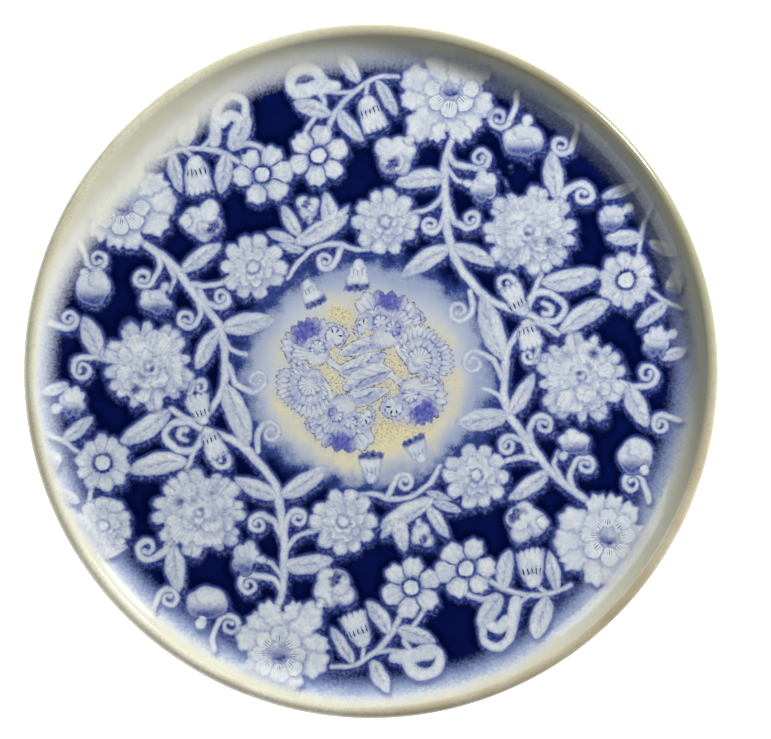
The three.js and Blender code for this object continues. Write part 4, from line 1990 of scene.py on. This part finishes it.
@dataclass(frozen=True)
class PrintedGlaze:
    """A glossy clear glaze over the blue print."""

    inks: PrintInks = PrintInks()
    gloss: float = 0.09
    ripple: float = 0.00004  # metres
    bump: float = 0.5
    index: float = 1.5  # of refraction

    # Distances inside a motif's outline, in sheet units, each from none to full
    GLOW = (-3.3, 1.2)
    OPEN_GROUND = (-4.0, -11.5)
    THROWN = (-4.0, 3.4)
    # Distances from the print's pivot
    HALO = (128.0, 98.0)
    LIGHTER = (108.0, 78.0)
    CREAM = (104.0, 66.0)
    CREAM_LIMIT = (112.0, 96.0)
    HEART = (88.0, 50.0)
    # Distances from the plate's middle
    CLEAR = (325.0, 337.0)
    STAIN = (326.0, 339.0)
    # where the painted shade on the upper-right flank starts and where it is full
    PAINTED_SHADE_RADII = (298.0, 324.0)
    LIP = (334.0, 338.0)

    # the upper left, where the faded print is lightened: partly creamy glaze, partly painted light
    CREAM_AND_PAINTED_LIGHT_SIDE = Side(222.0, 2.0)
    # the upper right, away from the key lamp: its flank gets painted shade and keeps more of the
    # faded print
    SHADED_SIDE = Side(325.0, 1.5)
    TOASTED = Side(50.0, 3.0)
    # the upper right, where the lip gets painted shade
    LIP_PAINTED_SHADE_SIDE = Side(318.0, 1.4)
    # the bottom, where the lip gets painted light
    LIP_PAINTED_LIGHT_SIDE = Side(95.0, 1.2)

    FACING_DOWN = (0.05, -0.15)  # of the normal's height
    BARE_CLAY = (0.0009, 0.0003)  # metres up the foot ring

    def blue_ground(self, g: GlazeGraph) -> tuple[Value, Value]:
        """Return the blue ground with the motifs' stippled shadows, and the shadows' tone.

        Args:
            g: The glaze's nodes.

        Returns:
            The colour and the tone.
        """
        inks = self.inks
        open_ground = g.white.rise(*self.OPEN_GROUND)
        ground = g.mix(open_ground * 0.8 + (g.cloud - 0.5) * 1.2, inks.navy, inks.cobalt)
        pinholes = g.grain.rise(0.765, 0.79) * g.coarse.rise(0.56, 0.62) * open_ground
        ground = g.mix(pinholes * 0.8, ground, inks.petal_shade)
        glow = (g.white + (g.grain - 0.5) * 1.4).rise(*self.GLOW)
        ground = g.mix(glow * 0.8, ground, inks.violet)

        below = (g.cast + (g.grain - 0.5) * 5.0).rise(*self.THROWN)
        tone = below * (0.15 + 0.85 * g.white.rise(-8.0, -1.0)) + (g.grain - 0.5) * 1.1 * below
        stipple = g.mix(g.coarse.rise(0.42, 0.70) * 0.30, inks.shadow, inks.petal_shade)
        ground = g.mix(tone * 0.95, ground, stipple)
        crisp = (g.inner + 1.0).absolute().rise(1.0, 0.2) * g.cast.rise(-1.0, 2.0)
        return g.mix(crisp * g.grain.rise(0.42, 0.58) * 0.45, ground, inks.navy), tone

    def pale(self, g: GlazeGraph) -> Value:
        """Return the pale blue where the ground is washed out."""
        return g.mix((g.cloud - 0.35) * 1.4, self.inks.pale, self.inks.petal_shade)

    def centre_ground(self, g: GlazeGraph, ground: Value) -> Value:
        """Return the ground with its pale halo and the cream at its centre.

        Args:
            g: The glaze's nodes.
            ground: The ground so far.

        Returns:
            The colour.
        """
        inks = self.inks
        away = g.from_pivot(3.0, -3.0, 0.88)
        ragged = away + (g.cloud - 0.5) * 34.0 + (g.grain - 0.5) * 14.0
        lighter = (away + (g.coarse - 0.5) * 26.0 + (g.drift - 0.5) * 40.0).rise(*self.LIGHTER)
        haze = g.mix(lighter * 0.75 + (g.coarse - 0.5) * 0.9, self.pale(g), inks.haze)
        ground = g.through(ragged.rise(*self.HALO), ground, inks.middle, haze)

        low = g.from_pivot(4.0, -12.0, 0.94)
        creamy = (low + (g.cloud - 0.5) * 46.0 + (g.drift - 0.5) * 30.0).rise(*self.CREAM)
        heart = (away + (g.cloud - 0.5) * 40.0).rise(*self.HEART)
        specks = (g.grain + (g.coarse - 0.5) * 0.3).rise(0.52, 0.60) * (0.08 + 0.92 * heart)
        worn = g.mix(0.3, inks.cream, inks.toasted)
        cream = g.mix((g.drift - 0.42) * 1.6 * heart, inks.cream, worn)
        cream = g.mix(specks * 0.7, cream, inks.brown)
        beside = (g.figure + (g.coarse - 0.5) * 4.0).rise(-8.0, -1.0)
        cream = g.mix(beside * 0.55, cream, inks.grey)
        return g.mix(creamy * ragged.rise(*self.CREAM_LIMIT), ground, cream)

    def rim_ground(self, g: GlazeGraph, ground: Value, tone: Value) -> Value:
        """Return the ground, fading to white glaze at the flank but for the shadows' tone.

        Args:
            g: The glaze's nodes.
            ground: The ground so far.
            tone: The shadows' tone.

        Returns:
            The colour.
        """
        inks = self.inks
        pale = self.pale(g)
        glazed = g.mix(g.outer * 0.7, pale, inks.white_glaze)
        rim = g.mix((tone * 0.6).clamped(), glazed, inks.shadow)
        return g.through(g.faded, ground, g.mix(0.35, inks.middle, pale), rim)

    def petals(self, g: GlazeGraph, tones: PetalTones) -> Value:
        """Return the border's petals and leaves.

        Args:
            g: The glaze's nodes.
            tones: The petals' tones.

        Returns:
            The colour.
        """
        inks = self.inks
        petal = g.mix(0.30 + tones.mottle * 1.25, inks.petal, inks.petal_shade)
        petal = g.mix(tones.folded, petal, inks.fold)
        petal = g.mix(tones.lines * 0.34, petal, inks.line)
        petal = g.mix(tones.fine.lowest(0.75) * 0.62, petal, inks.line)
        petal = g.mix(tones.bold, petal, inks.dark_line)
        petal = g.mix(tones.pooled, petal, inks.pool)
        petal = g.mix(g.inner.rise(4.4, 0.4) * 0.7, petal, inks.soft_rim)
        dotted = (g.grain + g.coarse * 0.3).rise(0.70, 0.80) * g.white.rise(7.0, 1.0)
        petal = g.mix(dotted * 0.5, petal, inks.line)

        # Flowers over stems and leaves keep a thin outline
        bloom = g.attribute("bloom")
        overlap = (bloom + (g.grain - 0.5) * 0.8 + 0.6).absolute().rise(1.2, 0.3)
        petal = g.mix(overlap * g.white.rise(0.4, 1.6) * 0.4, petal, inks.line)
        ghost = g.mix(0.62, petal, inks.white_glaze)
        return g.mix(g.faded * 0.8, petal, ghost)

    def figures(self, g: GlazeGraph, tones: PetalTones, drawn: Value) -> Value:
        """Return the print with the centre's figures, thinly outlined, laid over it.

        Args:
            g: The glaze's nodes.
            tones: The petals' tones.
            drawn: The print so far.

        Returns:
            The colour.
        """
        inks = self.inks
        creamy = g.mix(0.2, inks.petal, inks.cream)
        flower = g.mix(0.45 + tones.mottle, creamy, inks.petal_shade)
        flower = g.mix(tones.folded * 0.85, flower, inks.figure_fold)
        flower = g.mix(tones.lines * 0.7, flower, inks.figure_line)
        flower = g.mix(tones.fine.lowest(0.8) * 0.8, flower, inks.figure_line)
        flower = g.mix(tones.bold, flower, inks.dark_line)
        flower = g.mix(tones.pooled * 0.9, flower, inks.wash)
        drawn = g.mix(g.figure.rise(-0.4, 0.7), drawn, flower)
        thin = (g.figure + (g.coarse - 0.5) * 1.6).absolute().rise(1.1, 0.2)
        broken = g.grain.rise(0.36, 0.54) * (0.35 + 0.65 * g.coarse.rise(0.42, 0.58))
        return g.mix(thin * broken * 0.9, drawn, g.mix(0.2, inks.dark_line, inks.brown))

    def flank(self, g: GlazeGraph, drawn: Value) -> Value:
        """Return the print with the flank's plain glaze, its stains, painted light and painted shade
        laid over it.

        Args:
            g: The glaze's nodes.
            drawn: The print so far.

        Returns:
            The colour.
        """
        inks = self.inks
        shaded_side = g.towards(self.SHADED_SIDE)
        plain = g.mix((g.cloud - 0.4) * 0.5, inks.white_glaze, inks.pale)
        # Partly creamy glaze, partly painted light: the faded print is lightened towards cream on the
        # upper left
        drawn = g.mix(g.towards(self.CREAM_AND_PAINTED_LIGHT_SIDE) * g.faded * 0.7, drawn, inks.cream_and_painted_light)
        drawn = g.mix(g.depth.rise(*self.CLEAR) * (0.85 - 0.3 * shaded_side), drawn, plain)
        stain = g.radius + (g.sway - 0.5) * 10.0 + g.washed * 0.8 + (g.cloud - 0.5) * 5.0
        drawn = g.mix(stain.rise(*self.STAIN) * 0.6, drawn, inks.stained)
        # Painted shade: the upper-right flank is darkened to olive where the lip shades it
        return g.mix(shaded_side * g.radius.rise(*self.PAINTED_SHADE_RADII) * 0.42, drawn, inks.painted_flank_shade)

    def lip(self, g: GlazeGraph) -> Value:
        """Return the lip's cream, worn to toast and freckled, with painted shade on its upper right
        and painted light at its bottom.

        Args:
            g: The glaze's nodes.

        Returns:
            The colour.
        """
        inks = self.inks
        toast = g.towards(self.TOASTED) * 1.3 + (g.sway - 0.5) * 1.2
        # Painted shade: the lip darkens to olive towards the upper right
        base = g.mix(g.towards(self.LIP_PAINTED_SHADE_SIDE), inks.lip_cream, inks.lip_painted_shade)
        # Painted light: the lip is lightened towards the bottom, against its shading
        base = g.mix(g.towards(self.LIP_PAINTED_LIGHT_SIDE), base, inks.lip_painted_light)
        tint = g.mix((g.drift - 0.45) * 1.2 + toast * 0.6, base, inks.toasted)
        freckles = (g.fine_grain + (g.coarse - 0.5) * 0.5).rise(0.56, 0.70)
        return g.mix(freckles * 0.42, tint, inks.brown)

    def back(self, g: GlazeGraph) -> Value:
        """Return the plain glaze of the back.

        Args:
            g: The glaze's nodes.

        Returns:
            The colour.
        """
        inks = self.inks
        glazed = g.mix(0.35, inks.white_glaze, inks.cream)
        plain = g.mix((g.cloud - 0.45) * 1.2, glazed, inks.stained)
        specks = g.grain.rise(0.62, 0.70) * g.coarse.rise(0.5, 0.64)
        return g.mix(specks * 0.5, plain, inks.brown)

    def material(self) -> bpy.types.Material:
        """Return the glaze as a material.

        Returns:
            The material.
        """
        made = bpy.data.materials.new("printed_glaze")
        made.use_nodes = True
        g = GlazeGraph(made.node_tree)
        tones = PetalTones(g)

        ground, shadow_tone = self.blue_ground(g)
        ground = self.centre_ground(g, ground)
        ground = self.rim_ground(g, ground, shadow_tone)
        body = g.inner.rise(-0.2, 2.2)
        drawn = g.mix(body * (1 - g.outer * 0.85), ground, self.petals(g, tones))
        drawn = self.figures(g, tones, drawn)
        drawn = self.flank(g, drawn)
        lip = (g.radius + (g.grain - 0.5) * 2.0).rise(*self.LIP)
        drawn = g.mix(lip, drawn, self.lip(g))
        normal = g.node("ShaderNodeNewGeometry", {}, {}, "Normal")
        drawn = g.mix(g.parts(normal)[2].rise(*self.FACING_DOWN), drawn, self.back(g))
        bare = (g.height + (g.coarse - 0.5) * 0.0006).rise(*self.BARE_CLAY)
        drawn = g.mix(bare, drawn, g.mix(g.coarse, self.inks.biscuit, self.inks.toasted))

        rough = self.gloss + lip * 0.12 + bare * 0.6 + (g.cloud - 0.5) * 0.04
        relief = g.drift * 0.7 + g.cloud * 0.22 + g.coarse * 0.03
        rippled = {"Strength": self.bump, "Distance": self.ripple, "Height": relief}
        bump = g.node("ShaderNodeBump", {}, rippled, "Normal")
        g.finish(g.node("ShaderNodeBsdfPrincipled", {}, {
            "Base Color": drawn, "Roughness": rough, "Normal": bump, "IOR": self.index}))
        return made


@dataclass(frozen=True)
class StudioFloor:
    """A plain pale floor that hardly darkens under the plate."""

    tint: Colour = (0.7, 0.7, 0.7)
    glow: Colour = (1.0, 1.0, 1.0)
    shine: float = 0.94
    rough: float = 0.9
    specular: float = 0.1

    def material(self) -> bpy.types.Material:
        """Return the floor's material.

        Returns:
            The material.
        """
        made = bpy.data.materials.new("pale_floor")
        made.use_nodes = True
        g = Graph(made.node_tree)
        g.finish(g.node("ShaderNodeBsdfPrincipled", {}, {
            "Base Color": self.tint, "Roughness": self.rough, "Emission Color": self.glow,
            "Emission Strength": self.shine, "Specular IOR Level": self.specular}))
        return made


# The studio


@dataclass(frozen=True)
class LampSetting:
    """Where a lamp hangs and how it shines."""

    bearing: float  # degrees counter-clockwise from +X
    height: float  # degrees above the floor
    distance: float
    size: float
    power: float  # watts

    def place(self) -> Vector:
        """Return where the lamp hangs.

        Returns:
            The place, in metres.
        """
        turn, lift = math.radians(self.bearing), math.radians(self.height)
        flat = math.cos(lift)
        return Vector((math.cos(turn) * flat, math.sin(turn) * flat, math.sin(lift))) * self.distance


class Lamp(Enum):
    """The studio's lamps."""

    KEY = LampSetting(bearing=42.0, height=25.0, distance=1.6, size=0.16, power=34.0)
    FILL = LampSetting(bearing=215.0, height=40.0, distance=1.8, size=0.9, power=3.5)
    SIDE = LampSetting(bearing=140.0, height=45.0, distance=1.9, size=0.8, power=5.5)


@dataclass
class Studio:
    """The floor, the lamps and the camera straight above the plate."""

    distance: float = 2.4
    sensor: float = 36.0  # millimetres
    floor_size: float = 6.0
    focus_drop: float = 0.003  # from the lip's top down to its widest, where the camera measures
    side_light: Colour = (0.36, 0.37, 0.39)
    overhead_light: Colour = (0.01, 0.01, 0.012)
    backdrop: Colour = (1.0, 1.0, 1.0)
    overhead: tuple[float, float] = (0.25, 0.85)  # heights of the directions that darken

    def build_floor(self) -> None:
        """Lay the floor under the foot ring."""
        bm = bmesh.new()
        bmesh.ops.create_grid(bm, x_segments=4, y_segments=4, size=self.floor_size)
        floor = placed_object("floor", bm)
        floor.data.materials.append(StudioFloor().material())

    def build_lamps(self) -> None:
        """Hang the lamps about the plate."""
        for lamp in Lamp:
            name, setting = lamp.name.lower(), lamp.value
            data = bpy.data.lights.new(name, "AREA")
            data.shape = "SQUARE"
            data.size = setting.size
            data.energy = setting.power
            hung = bpy.data.objects.new(name, data)
            bpy.context.scene.collection.objects.link(hung)
            hung.location = setting.place()
            hung.rotation_euler = (-setting.place()).to_track_quat("-Z", "Y").to_euler()

    def build_world(self) -> None:
        """Make the room: pale at the sides, dark overhead where the camera stands."""
        world = bpy.data.worlds.new("room")
        bpy.context.scene.world = world
        world.use_nodes = True
        g = Graph(world.node_tree)
        direction = g.node("ShaderNodeTexCoord", {}, {}, "Generated")
        height = g.parts(direction)[2]
        room = g.mix(height.rise(*self.overhead), self.side_light, self.overhead_light)
        seen = g.node("ShaderNodeLightPath", {}, {}, "Is Camera Ray")
        colour = g.mix(seen, room, self.backdrop)
        background = g.node("ShaderNodeBackground", {}, {"Color": colour, "Strength": 1.0})
        g.finish(background, "ShaderNodeOutputWorld")

    def build_camera(self) -> None:
        """Hang the camera straight above, with the plate at its place in the frame."""
        data = bpy.data.cameras.new("camera")
        data.sensor_fit = "HORIZONTAL"
        data.sensor_width = self.sensor
        wanted = PLATE_RADIUS_IN_FRAME / FRAME_WIDTH  # the rim's radius, as a share of the width
        data.lens = wanted * self.sensor * self.distance / RIM_RADIUS
        aside = (PLATE_IN_FRAME.real - FRAME_WIDTH / 2) * UNIT
        below = (PLATE_IN_FRAME.imag - FRAME_HEIGHT / 2) * UNIT
        camera = bpy.data.objects.new("camera", data)
        bpy.context.scene.collection.objects.link(camera)
        camera.location = (-aside, below, PLATE_HEIGHT - self.focus_drop + self.distance)
        camera.rotation_euler = (0, 0, 0)
        bpy.context.scene.camera = camera
        bpy.context.scene.view_settings.view_transform = "Standard"

    def build(self) -> None:
        """Set up the whole studio."""
        self.build_camera()
        self.build_world()
        self.build_floor()
        self.build_lamps()


def report(piece: bpy.types.Object) -> None:
    """Log a piece's name and size."""
    log.info("%s: %d triangles", piece.name, sum(len(p.vertices) - 2 for p in piece.data.polygons))


def main() -> None:
    """Build the studio and the plate, and hand the plate to the frame."""
    logging.basicConfig(level=logging.INFO, format="%(name)s %(message)s")
    Studio().build()
    drawing = Print()
    plate = PlateBody().build(drawing)
    plate.data.materials.clear()
    plate.data.materials.append(PrintedGlaze().material())
    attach(plate, "root")
    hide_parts(NODE)
    report(plate)


if __name__ == "__main__":
    main()
